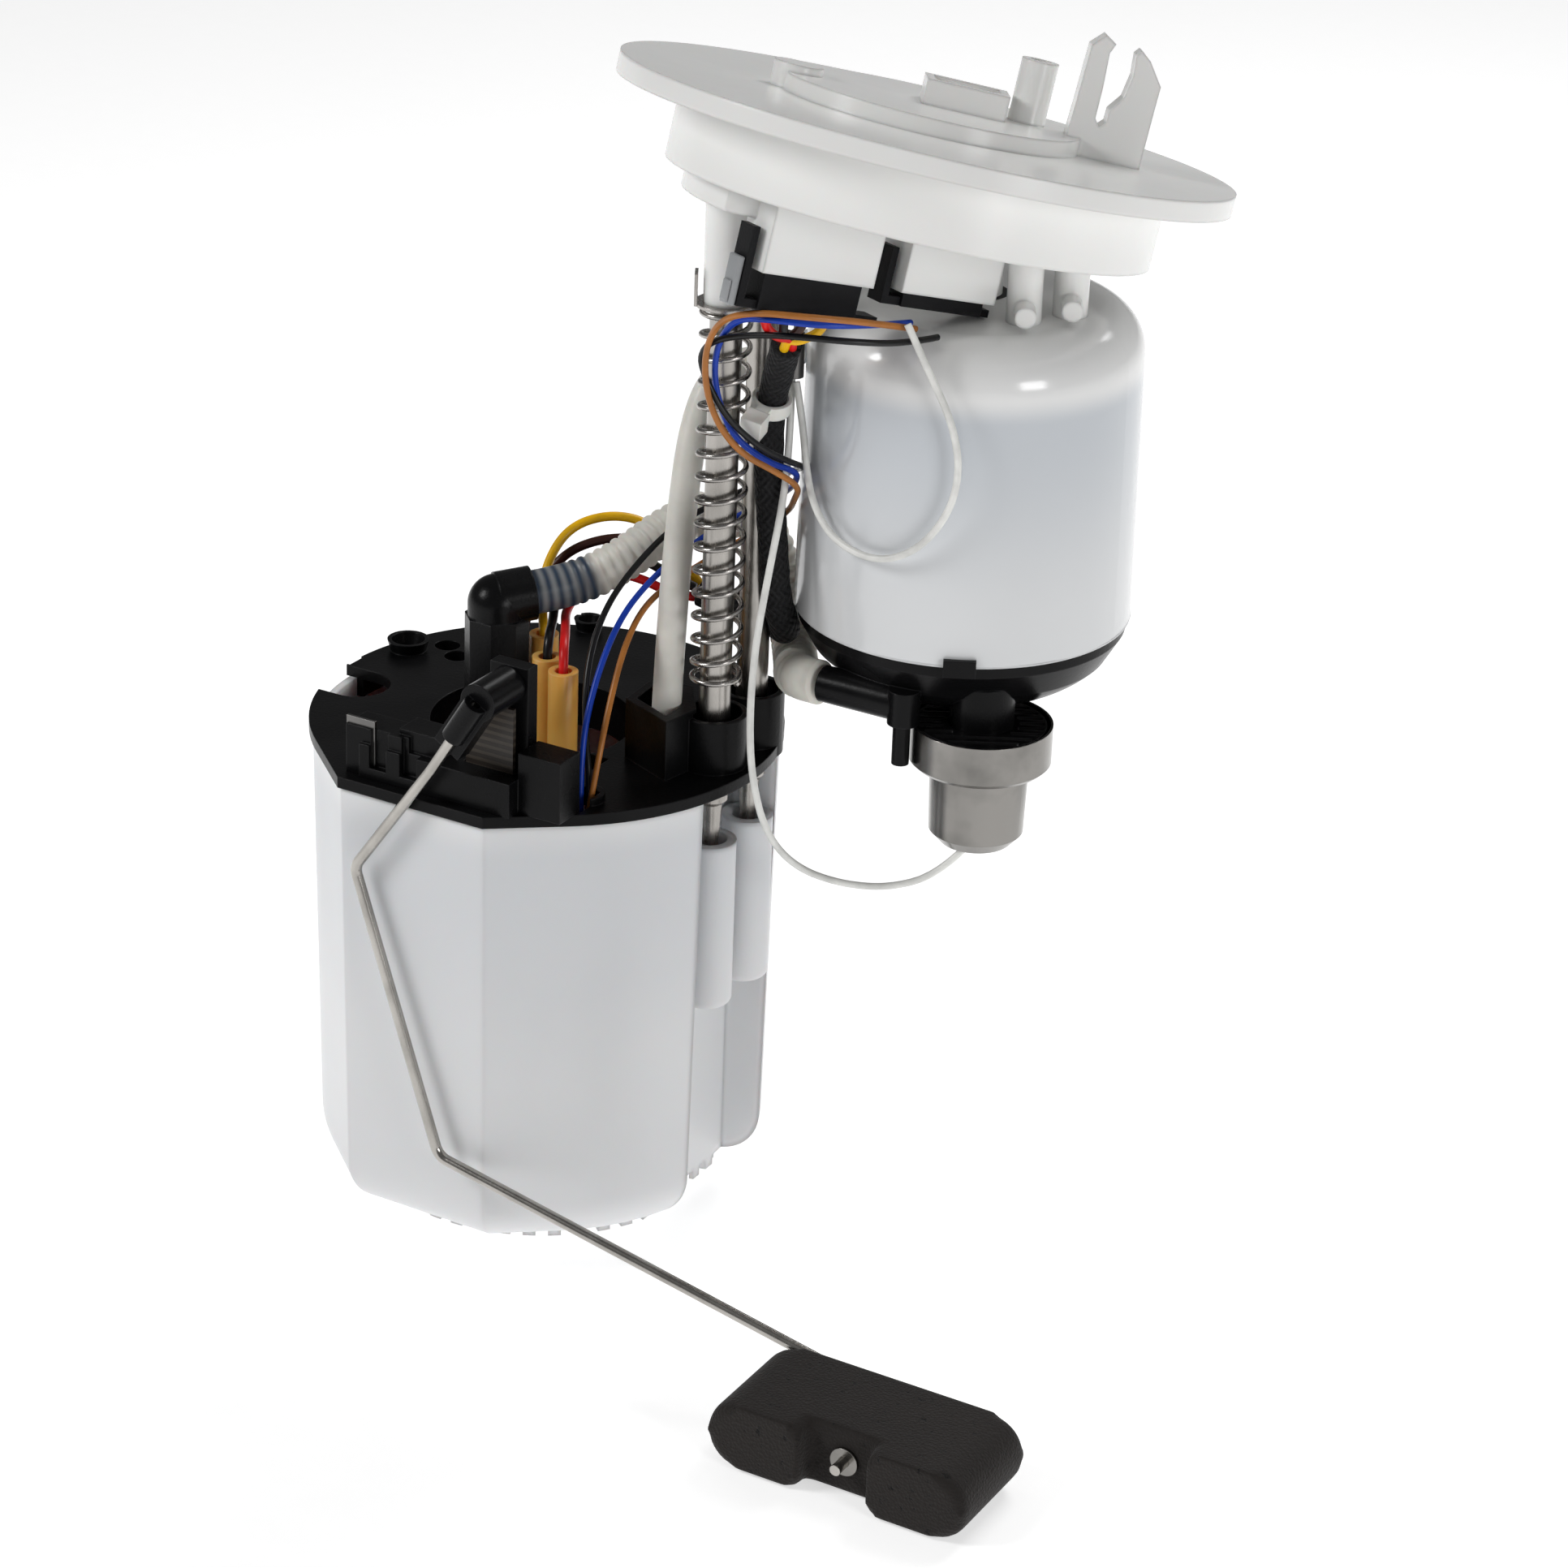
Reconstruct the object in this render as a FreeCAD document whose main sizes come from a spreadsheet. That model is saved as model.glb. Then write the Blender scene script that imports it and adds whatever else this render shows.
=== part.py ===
import FreeCAD, Part
import math
import os
import re
import Sketcher

# In-tank fuel pump module, hung from a round tank flange. Millimetres, +Z up along the guide rods,
# +X to the right along the level sender's side of the reservoir, -Y towards the float.
# The origin is the centre of the flange's seat, on the axis of the collar that enters the tank.

doc = FreeCAD.newDocument("fuel_pump_module")
sheet = doc.addObject("Spreadsheet::Sheet", "sizes")
names = []


def write_sizes(table):
    """Write each driving size of a sub-part into the sheet, and give its cell that name."""
    for name, number in table.items():
        row = len(names) + 1
        sheet.set("A%d" % row, name)
        sheet.set("B%d" % row, str(number))
        sheet.setAlias("B%d" % row, name)
        names.append(name)


def bound(text):
    """Point each size name in an expression at the sheet."""
    return re.sub(r"[a-z][a-z_0-9]*",
                  lambda m: "sizes." + m.group(0) if m.group(0) in names else m.group(0), str(text))


def value(text):
    """Work out an expression of size names as a number."""
    if "Touched" in sheet.State:
        sheet.recompute()
    return float(sheet.evalExpression(bound(text)))


# Helpers: each takes expressions of size names, and binds them with setExpression.
def bind(thing, **properties):
    for name, text in properties.items():
        thing.setExpression(name, bound(text))
    return thing


def place(thing, at=("0", "0", "0"), turn=("0", "0", "0")):
    """Bind a position, and a turn given as yaw, pitch and roll in degrees."""
    thing.setExpression("Placement",
                        bound("placement(vector(%s; %s; %s); rotation(%s; %s; %s))" % (tuple(at)
                              + tuple(turn))))
    return thing


def box(name, length, width, height, at=("0", "0", "0"), turn=("0", "0", "0")):
    thing = bind(doc.addObject("Part::Box", name), Length=length, Width=width, Height=height)
    return place(thing, at, turn)


def cylinder(name, radius, height, at=("0", "0", "0"), turn=("0", "0", "0")):
    thing = bind(doc.addObject("Part::Cylinder", name), Radius=radius, Height=height)
    return place(thing, at, turn)


def cone(name, radius1, radius2, height, at=("0", "0", "0"), turn=("0", "0", "0")):
    thing = bind(doc.addObject("Part::Cone", name), Radius1=radius1, Radius2=radius2, Height=height)
    return place(thing, at, turn)


def ball(name, radius, at=("0", "0", "0")):
    return place(bind(doc.addObject("Part::Sphere", name), Radius=radius), at)


def fuse(name, *things):
    thing = doc.addObject("Part::MultiFuse", name)
    thing.Shapes = list(things)
    thing.Refine = True
    return thing


def cut(name, base, *tools):
    thing = doc.addObject("Part::Cut", name)
    thing.Base = base
    thing.Tool = tools[0] if len(tools) == 1 else fuse(name + "_tools", *tools)
    thing.Refine = True
    return thing


def common(name, first, second):
    thing = doc.addObject("Part::MultiCommon", name)
    thing.Shapes = [first, second]
    return thing


def rounded(name, base, radius, chosen):
    """Round the edges that the test picks."""
    doc.recompute()
    thing = doc.addObject("Part::Fillet", name)
    thing.Base = base
    thing.Edges = [(i + 1, value(radius), value(radius)) for i,
                   edge in enumerate(base.Shape.Edges) if chosen(edge)]
    return thing


def level_edges(height):
    """Pick the edges that lie at one height."""
    z = value(height)
    return lambda edge: abs(edge.BoundBox.ZMin - z) < 1e-4 and abs(edge.BoundBox.ZMax - z) < 1e-4


def sketch(body, plane, outline):
    """Draw a closed outline on one of the body's own planes, each corner's place bound to the sheet.

    A corner is (x, y), or (x, y, radius, side) where the edge that leaves it is an arc of that radius,
    which bulges to the right of the way the outline runs with side 1, and to the left with side -1."""
    drawing = body.newObject("Sketcher::SketchObject", body.Name + "_outline")
    support = [o for o in body.Origin.OriginFeatures if o.Role == plane][0]
    drawing.AttachmentSupport = [(support, "")]
    drawing.MapMode = "FlatFace"
    corners = [FreeCAD.Vector(value(c[0]), value(c[1]), 0) for c in outline]
    starts, ends = [], []
    for i, corner in enumerate(outline):
        a, b = corners[i], corners[(i + 1) % len(corners)]
        if len(corner) == 2:
            drawing.addGeometry(Part.LineSegment(a, b), False)
            starts.append((i, 1))
            ends.append((i, 2))
            continue
        radius, side = value(corner[2]), corner[3]
        along = (b - a).normalize()
        right = FreeCAD.Vector(along.y, -along.x, 0) * side
        half = (b - a).Length / 2
        rise = radius - math.sqrt(max(radius * radius - half * half, 0.0))
        drawing.addGeometry(Part.Arc(a, (a + b) * 0.5 + right * rise, b), False)
        forward = drawing.Geometry[i].StartPoint.distanceToPoint(a) < 1e-6
        starts.append((i, 1 if forward else 2))
        ends.append((i, 2 if forward else 1))
    for i, corner in enumerate(outline):
        j = (i + 1) % len(outline)
        drawing.addConstraint(Sketcher.Constraint("Coincident", ends[i][0], ends[i][1], starts[j][0],
                                                  starts[j][1]))
    for i, corner in enumerate(outline):
        for kind, axis, text in (("DistanceX", -2, corner[0]), ("DistanceY", -1, corner[1])):
            if abs(value(text)) < 1e-9:
                drawing.addConstraint(Sketcher.Constraint("PointOnObject", starts[i][0], starts[i][1],
                                                          axis))
                continue
            n = drawing.addConstraint(Sketcher.Constraint(kind, -1, 1, starts[i][0], starts[i][1],
                                                          value(text)))
            drawing.setExpression("Constraints[%d]" % n, bound(text))
        if len(corner) > 2:
            n = drawing.addConstraint(Sketcher.Constraint("Radius", i, value(corner[2])))
            drawing.setExpression("Constraints[%d]" % n, bound(corner[2]))
    return drawing


def turned(name, outline, at=("0", "0", "0"), turn=("0", "0", "0")):
    """A body turned about its own upright axis, from an outline of (radius, height) corners."""
    body = doc.addObject("PartDesign::Body", name)
    drawing = sketch(body, "XZ_Plane", outline)
    feature = body.newObject("PartDesign::Revolution", name + "_turn")
    feature.Profile = drawing
    feature.ReferenceAxis = (drawing, ["V_Axis"])
    feature.Angle = 360
    drawing.Visibility = False
    return place(body, at, turn)


def padded(name, outline, height, plane="XY_Plane", at=("0", "0", "0"), turn=("0", "0", "0"), taper=None,
           down=False):
    """A body drawn in outline and raised to a height."""
    body = doc.addObject("PartDesign::Body", name)
    drawing = sketch(body, plane, outline)
    feature = body.newObject("PartDesign::Pad", name + "_pad")
    feature.Profile = drawing
    feature.setExpression("Length", bound(height))
    feature.Reversed = down
    if taper:
        feature.setExpression("TaperAngle", bound(taper))
    return place(body, at, turn)


# Driving sizes: the flange that closes the tank.
FLANGE = {
    "flange_diameter": 150,
    "rim_thickness": 5,
    "collar_diameter": 118.6,
    "collar_depth": 17,
    "collar_wall": 3,
    "flange_pitch": 5,
    "flange_roll": -14,
    "rib_thickness": 2,
    "rib_depth": 9,
    "step_radius": 54,
    "step_depth": 6,
    "housing_drop": 34,
    "housing_width": 12,
    "housing_wall": 1.8,
    "pump_housing_length": 31,
    "sender_housing_length": 27,
    "plug_clearance": 0.15,
    "plug_depth": 14,
    "pump_plug_drop": 9,
    "sender_plug_drop": 3.6,
    "port_diameter": 9,
    "port_height": 16,
    "port_bore": 5,
    "clip_thickness": 8,
}
write_sizes(FLANGE)
# The two guide rods and what slides on them.
RODS = {
    "rod_diameter": 8,
    "rod_clearance": 0.05,
    "rod_x": -34,
    "front_rod_y": -32.5,
    "rear_rod_y": -14,
    "rod_top": 2,
    "rod_bottom": -170,
    "tip_length": 14,
    "tip_root_diameter": 5.6,
    "tip_end_diameter": 3.6,
    "boss_wall": 1.7,
    "boss_bottom": -38,
    "spring_wire": 1.4,
    "spring_diameter": 13.2,
    "spring_pitch": 5.6,
    "spring_bottom": -137,
}
write_sizes(RODS)
# The fuel filter that hangs from the flange.
FILTER = {
    "filter_x": 9.5,
    "filter_y": 14.5,
    "filter_diameter": 84.4,
    "filter_top_diameter": 82.6,
    "filter_wall": 2,
    "filter_shoulder": 12,
    "filter_top": -41,
    "filter_bottom": -121.6,
    "cap_drop": 18,
    "spigot_diameter": 12,
    "spigot_x": 7.6,
    "spigot_y": 17.9,
    "regulator_x": 29,
    "regulator_y": -10,
    "regulator_top": -140,
    "regulator_rim_diameter": 35.4,
    "regulator_rim_height": 11,
    "regulator_diameter": 24.6,
    "regulator_height": 32,
    "regulator_wall": 0.6,
}
write_sizes(FILTER)
# The reservoir that slides on the rods.
RESERVOIR = {
    "pot_x": -84,
    "pot_y": -31,
    "pot_radius": 59.6,
    "pot_flat": 60,
    "pot_flat_left": -22,
    "pot_flat_right": 20,
    "pot_top": -162,
    "pot_foot": -283,
    "pot_wall": 2.2,
    "pot_floor": 3,
    "pot_draft": 0.8,
    "pot_corner": 14,
    "tooth_height": 2.6,
    "tooth_width": 3.2,
    "tooth_ring_radius": 46,
    "tooth_count": 44,
    "channel_face": 42.5,
    "channel_low": -17.5,
    "channel_high": 22,
    "guide_top": -180,
    "guide_bottom": -226,
    "guide_wall": 2.6,
    "guide_web": 3.5,
    "cover_thickness": 3,
    "cover_lip": 1,
    "opening_radius": 26,
    "opening_x": -2,
    "opening_y": -4,
    "opening_depth": 12,
    "cup_diameter": 16.8,
    "cup_bore": 14,
    "cup_height": 14,
    "cup_floor": 4,
}
write_sizes(RESERVOIR)


def seat_height(x, y):
    """The height of the tilted flange's seat above a point."""
    across = "(cos(flange_roll) * sin(flange_pitch) * (%s) - sin(flange_roll) * (%s))" % (x, y)
    return "(-%s / (cos(flange_roll) * cos(flange_pitch)))" % across


TILT = ("0", "flange_pitch", "flange_roll")


def polar(along, across, angle):
    """Turn a place given along and across a direction into x and y."""
    x = "((%s) * cos(%s) - (%s) * sin(%s))" % (along, angle, across, angle)
    y = "((%s) * sin(%s) + (%s) * cos(%s))" % (along, angle, across, angle)
    return x, y


# The flange is one moulding: rim, collar, raised top, pipe port, hose clip, two housings and rod bosses.
FLANGE_TOP = {
    "top_radius": 36,
    "top_height": 4,
    "view_angle": 29,
    "row_angle": 59,
    "pump_housing_along": -32,
    "pump_housing_across": -39,
    "row_gap": 8,
    "socket_length": 20,
    "socket_width": 14,
    "socket_height": 6,
    "socket_recess": 10,
    "clip_left": 32,
    "clip_height": 29,
}
write_sizes(FLANGE_TOP)


def housing(name, length, x, y):
    """A rectangular box under the flange that a plug goes up into."""
    shell = box(name, length, "housing_width", "housing_drop", at=(x, y, "-housing_drop"),
                turn=("row_angle", "0", "0"))
    px, py = polar("housing_wall", "housing_wall", "row_angle")
    hollow = box(name + "_pocket", length + " - 2 * housing_wall", "housing_width - 2 * housing_wall",
                 "plug_depth + 1",
                 at=(x + " + " + px, y + " + " + py, "-housing_drop - 1"), turn=("row_angle", "0", "0"))
    return shell, hollow


def housing_corner(along):
    """The near corner of a connector housing, a distance along the row."""
    x, y = polar("pump_housing_along", "pump_housing_across", "view_angle")
    dx, dy = polar(along, "0", "row_angle")
    return x + " + " + dx, y + " + " + dy


def hose_clip():
    """Two spring fingers that stand up from one foot and hold the fuel line."""
    left, top = "clip_left", "rim_thickness + clip_height"
    outline = [(left, "rim_thickness - 1"), (left + " + 19", "rim_thickness - 1"),
               (left + " + 19.2", top + " - 13"),
               (left + " + 19.3", top + " - 9"), (left + " + 15.5", top + " - 3.7"),
               (left + " + 13", top + " - 1.7"),
               (left + " + 11.9", top + " - 3"), (left + " + 12.3", top + " - 8"),
               (left + " + 11.4", top + " - 13.5"),
               (left + " + 8.8", top + " - 17"), (left + " + 8.7", top + " - 20"),
               (left + " + 7.3", top + " - 21.4"),
               (left + " + 6", top + " - 19.5"), (left + " + 6", top + " - 12"),
               (left + " + 5.6", top + " - 4"),
               (left + " + 6.6", top + " - 1.6"), (left + " + 4", top), (left + " + 1", top + " - 3"),
               (left + " + 0.6", top + " - 17")]
    x, y = polar("0", "clip_thickness / 2", "view_angle")
    return padded("hose_clip", outline, "clip_thickness", plane="XZ_Plane", at=(x, y, "0"),
                  turn=("view_angle", "0", "0"))


def flange():
    pieces = [cylinder("disc", "flange_diameter / 2", "rim_thickness"),
              cylinder("raised_top", "top_radius", "top_height + 1", at=("0", "0", "rim_thickness - 1"))]
    rim = cylinder("collar_outside", "collar_diameter / 2", "collar_depth + 1",
                   at=("0", "0", "-collar_depth"))
    inside = cylinder("collar_inside", "collar_diameter / 2 - collar_wall", "collar_depth + 1",
                      at=("0", "0", "-collar_depth - 1"))
    pieces.append(cut("collar", rim, inside))
    for i in range(6):
        angle = str(30 + 60 * i)
        x, y = polar("10", "-rib_thickness / 2", angle)
        pieces.append(box("rib_%d" % i, "collar_diameter / 2 - collar_wall - 9", "rib_thickness",
                          "rib_depth + 1",
                          at=(x, y, "-rib_depth"), turn=(angle, "0", "0")))
    x, y = polar("-step_radius - 2", "-32", "view_angle")
    sector = box("step_sector", "24", "64", "collar_depth + step_depth",
                 at=(x, y, "-collar_depth - step_depth"), turn=("view_angle", "0", "0"))
    pieces.append(common("step", sector,
                         cylinder("step_round", "step_radius", "collar_depth + step_depth + 1",
                                  at=("0", "0", "-collar_depth - step_depth"))))
    x, y = housing_corner("0")
    pump_shell, pump_pocket = housing("pump_housing", "pump_housing_length", x, y)
    x, y = housing_corner("pump_housing_length + row_gap")
    sender_shell, sender_pocket = housing("sender_housing_socket", "sender_housing_length", x, y)
    pieces += [pump_shell, sender_shell, hose_clip()]
    x, y = polar("23", "5", "view_angle")
    pieces.append(cylinder("port", "port_diameter / 2", "port_height + 4", at=(x, y, "rim_thickness - 1")))
    port_hole = cylinder("port_bore_hole", "port_bore / 2", "port_height + rim_thickness + 4",
                         at=(x, y, "2"))
    x, y = polar("-3", "-socket_width / 2", "view_angle")
    pieces.append(box("socket", "socket_length", "socket_width", "top_height + socket_height + 1",
                      at=(x, y, "rim_thickness - 1"), turn=("view_angle", "0", "0")))
    x, y = polar("-1", "-socket_width / 2 + 2", "view_angle")
    recess = box("socket_hollow", "socket_length - 4", "socket_width - 4", "socket_recess + 1",
                 at=(x, y, "rim_thickness + top_height + socket_height - socket_recess"),
                 turn=("view_angle", "0", "0"))
    pieces.append(cylinder("ground_post", "2.6", "17", at=("11", "-21.5", "-16")))
    x, y = polar("-33", "0", "view_angle")
    pieces.append(cylinder("vent_boss", "6", "top_height + 3", at=(x, y, "rim_thickness - 1")))
    core = place(cut("flange_core", fuse("flange_mass", *pieces), pump_pocket, sender_pocket, recess,
                     port_hole), turn=TILT)
    bosses = []
    sockets = []
    for rod, y in (("front", "front_rod_y"), ("rear", "rear_rod_y")):
        bosses.append(cylinder(rod + "_boss", "rod_diameter / 2 + boss_wall",
                               seat_height("rod_x", y) + " + 2.5 - boss_bottom",
                               at=("rod_x", y, "boss_bottom")))
        sockets.append(cylinder(rod + "_socket", "rod_diameter / 2", "rod_top - boss_bottom + 1",
                                at=("rod_x", y, "boss_bottom - 1")))
    spigot = cylinder("spigot", "spigot_diameter / 2 - 0.1",
                      seat_height("spigot_x", "spigot_y") + " + 2.5 - filter_top + 10",
                      at=("spigot_x", "spigot_y", "filter_top - 10"))
    sockets.append(cylinder("spigot_bore", "port_bore / 2", "-filter_top",
                            at=("spigot_x", "spigot_y", "filter_top - 11")))
    sockets += [cylinder("post_socket_%d" % i, "lug_diameter / 2", "lug_height + 1",
                         at=(x, y, "filter_top - 1")) for i, (x, y) in enumerate(LUGS)]
    sockets.append(cylinder("tail_socket", "1.2", seat_height("-23", "-16.5") + " + 50",
                            at=("-23", "-16.5", "-50")))
    whole = fuse("flange_whole", core, spigot, *(bosses + bracket()))
    return cut("flange", whole, *sockets)


def plug(name, length, along, drop, tab):
    """A wired plug that fills its housing, with a latch arm at its end."""
    x, y = housing_corner(along)
    inset = "housing_wall + plug_clearance"
    px, py = polar(inset, inset, "row_angle")
    body = box(name + "_block", length + " - 2 * (" + inset + ")", "housing_width - 2 * (" + inset + ")",
               drop + " + plug_depth - 0.5",
               at=(x + " + " + px, y + " + " + py, "-housing_drop - " + drop), turn=("row_angle", "0", "0"))
    px, py = polar("-3.2", "3", "row_angle")
    arm = box(name + "_arm", "1.8", "6", drop + " + 10",
              at=(x + " + " + px, y + " + " + py, "-housing_drop - " + drop), turn=("row_angle", "0", "0"))
    px, py = polar("-3.2", "3", "row_angle")
    bridge = box(name + "_bridge", "6", "6", "2",
                 at=(x + " + " + px, y + " + " + py, "-housing_drop - " + drop),
                 turn=("row_angle", "0", "0"))
    px, py = polar(length + " - 4", "3", "row_angle")
    lip = box(name + "_lip", tab, "6", "1.8",
              at=(x + " + " + px, y + " + " + py, "-housing_drop - " + drop), turn=("row_angle", "0", "0"))
    return place(fuse(name, body, arm, bridge, lip), turn=TILT)


def rods():
    """Two steel rods, each with a reduced and tapered lower end."""
    made = []
    for rod, y in (("front", "front_rod_y"), ("rear", "rear_rod_y")):
        outline = [("0", "-tip_length"), ("tip_end_diameter / 2", "-tip_length"),
                   ("tip_root_diameter / 2", "0"), ("rod_diameter / 2", "1.2"),
                   ("rod_diameter / 2", "rod_top - rod_bottom"), ("0", "rod_top - rod_bottom")]
        made.append(turned("guide_rod_" + rod, outline, at=("rod_x", y, "rod_bottom")))
    return made


def rod_clip():
    """A stamped clip under the front boss, with one ear turned up, that holds the spring's upper end."""
    washer = cylinder("clip_washer", "rod_diameter / 2 + 3.6", "0.8",
                      at=("rod_x", "front_rod_y", "boss_bottom - 0.8"))
    x, y = polar("-rod_diameter / 2 - 3.8", "-2.5", "view_angle")
    ear = box("clip_ear", "0.8", "5", "8", at=("rod_x + " + x, "front_rod_y + " + y, "boss_bottom - 0.8"),
              turn=("view_angle", "0", "0"))
    hole = cylinder("clip_hole", "rod_diameter / 2", "3", at=("rod_x", "front_rod_y", "boss_bottom - 2"))
    return cut("rod_clip", fuse("clip_blank", washer, ear), hole)


def rod_spring():
    """The compression spring that pushes the reservoir to the tank floor."""
    top = value("boss_bottom") - 0.8
    bottom = value("spring_bottom")
    wire = value("spring_wire") / 2
    mean = value("spring_diameter") / 2 - wire
    path = Part.makeHelix(value("spring_pitch"), top - bottom - 2 * wire, mean)
    section = Part.makePolygon([FreeCAD.Vector(mean + wire * math.cos(math.radians(60 * k)), 0,
                                               wire * math.sin(math.radians(60 * k))) for k in range(7)])
    thing = doc.addObject("Part::Feature", "rod_spring")
    thing.Shape = Part.Wire(path).makePipeShell([section], True, True)
    return place(thing, at=("rod_x", "front_rod_y", "spring_bottom + spring_wire / 2"))


# The fuel filter: a housing with a paper element, a black end cap, and the pressure regulator below it.
FILTER_DETAILS = {
    "lug_low_x": 27,
    "lug_low_y": 4,
    "lug_high_x": 34,
    "lug_high_y": 15,
    "lug_diameter": 5,
    "lug_height": 9,
    "seal_thickness": 1.6,
    "element_diameter": 68,
    "element_bore": 28,
    "element_top": -56,
    "element_bottom": -112,
    "inlet_diameter": 9.2,
    "inlet_y": -22.2,
    "inlet_height": -135,
    "inlet_end": -9,
    "tab_width": 8,
}
write_sizes(FILTER_DETAILS)
LUGS = (("lug_low_x", "lug_low_y"), ("lug_high_x", "lug_high_y"))


def bracket():
    """Sleeves under the flange that grip the filter's two posts, with a round nub on each."""
    pieces = []
    for i, (x, y) in enumerate(LUGS):
        pieces.append(cylinder("bracket_sleeve_%d" % i, "lug_diameter / 2 + 1.8",
                               seat_height(x, y) + " + 2.5 - filter_top", at=(x, y, "filter_top")))
        dx, dy = polar("3", "0", "view_angle - 90")
        pieces.append(cylinder("bracket_nub_%d" % i, "2.6", "7",
                               at=(x + " + " + dx, y + " + " + dy, "filter_top + 4"),
                               turn=("view_angle - 90", "90", "0")))
    return pieces


def return_fitting():
    """The elbow on the filter's side that takes the return pipe."""
    side = cylinder("fitting_side", "3.8", "9.4", at=("-39.5", "19", "-64.5"), turn=("-5", "90", "0"))
    knee = ball("fitting_knee", "3.8", at=("-39.5", "19", "-64.5"))
    end = cylinder("fitting_end", "3.8", "7", at=("-39.5", "19", "-64.5"), turn=("0", "0", "90"))
    return [side, knee, end]


def filter_housing():
    low, high, shoulder = "filter_diameter / 2", "filter_top_diameter / 2", "filter_shoulder"
    outline = [(low, "filter_bottom"), (high, "filter_top - " + shoulder, shoulder, 1),
               (high + " - " + shoulder, "filter_top"),
               ("0", "filter_top"), ("0", "filter_top - filter_wall"),
               (high + " - " + shoulder, "filter_top - filter_wall"),
               (high + " - 0.58 * " + shoulder, "filter_top - 0.28 * " + shoulder),
               (high + " - 0.28 * " + shoulder, "filter_top - 0.58 * " + shoulder),
               (high + " - filter_wall", "filter_top - " + shoulder),
               (low + " - filter_wall", "filter_bottom")]
    shell = turned("filter_shell", outline, at=("filter_x", "filter_y", "0"))
    posts = [cylinder("filter_post_%d" % i, "lug_diameter / 2", "lug_height + 1",
                      at=(x, y, "filter_top - 1")) for i, (x, y) in enumerate(LUGS)]
    outlet = cylinder("filter_outlet", "spigot_diameter / 2 + seal_thickness", "filter_wall + 2",
                      at=("spigot_x", "spigot_y", "filter_top - filter_wall - 1"))
    return cut("filter_housing", fuse("filter_body", shell, *(posts + return_fitting())), outlet)


def outlet_seal():
    outline = [("spigot_diameter / 2 - 0.1", "-filter_wall - 1"),
               ("spigot_diameter / 2 + seal_thickness", "-filter_wall - 1"),
               ("spigot_diameter / 2 + seal_thickness", "0"), ("spigot_diameter / 2 - 0.1", "0")]
    return turned("outlet_seal", outline, at=("spigot_x", "spigot_y", "filter_top"))


def filter_element():
    outline = [("element_bore / 2", "element_bottom"), ("element_diameter / 2", "element_bottom"),
               ("element_diameter / 2", "element_top"), ("element_bore / 2", "element_top")]
    return turned("filter_element", outline, at=("filter_x", "filter_y", "0"))


def filter_cap():
    """The domed cap: a skirt in the housing, a stand for the element, the inlet, and the socket."""
    plug_r, edge = "filter_diameter / 2 - filter_wall - 0.1", "filter_diameter / 2 - 1"
    outline = [("0", "-cap_drop"), ("24", "-cap_drop", "30", 1), (edge + " - 4", "-10"), (edge, "-3"),
               (edge, "0"), (plug_r, "0"), (plug_r, "5"),
               (plug_r + " - 2.6", "5"), (plug_r + " - 2.6", "-3"), ("32", "-11.5"), ("30", "-12.5"),
               ("30", "element_bottom - filter_bottom"),
               ("28", "element_bottom - filter_bottom"), ("28", "-cap_drop + 3"), ("0", "-cap_drop + 3")]
    dome = turned("cap_dome", outline, at=("filter_x", "filter_y", "filter_bottom"))
    tab_x, tab_y = polar("filter_diameter / 2 - 1.6", "-tab_width / 2", "view_angle - 92")
    tab = box("cap_tab", "3", "tab_width", "4.4",
              at=("filter_x + " + tab_x, "filter_y + " + tab_y, "filter_bottom - 2"),
              turn=("view_angle - 92", "0", "0"))
    slot = cut("cap_tab_outside", tab, cylinder("cap_tab_inside", "filter_diameter / 2 + 0.05", "10",
                                                at=("filter_x", "filter_y", "filter_bottom")))
    socket = cylinder("regulator_socket", "8", "11.4",
                      at=("regulator_x", "regulator_y", "regulator_top - 0.4"))
    inlet = cylinder("cap_inlet", "inlet_diameter / 2", "16 - inlet_end",
                     at=("16", "inlet_y", "inlet_height"),
                     turn=("0", "-90", "0"))
    run = cylinder("cap_stub", "2.2", "12", at=("14.2", "-24", "inlet_height - 15"))
    web = cylinder("cap_web", "4", "9", at=("14.2", "-23.5", "inlet_height - 4.4"))
    body = fuse("cap_body", dome, slot, socket, inlet, run, web)
    bore = cylinder("inlet_bore", "inlet_diameter / 2 - 1.4", "15 - inlet_end",
                    at=("16", "inlet_y", "inlet_height"), turn=("0", "-90", "0"))
    well = cylinder("regulator_well", "5", "16", at=("regulator_x", "regulator_y", "regulator_top - 2"))
    return cut("filter_cap", body, bore, well)


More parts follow.
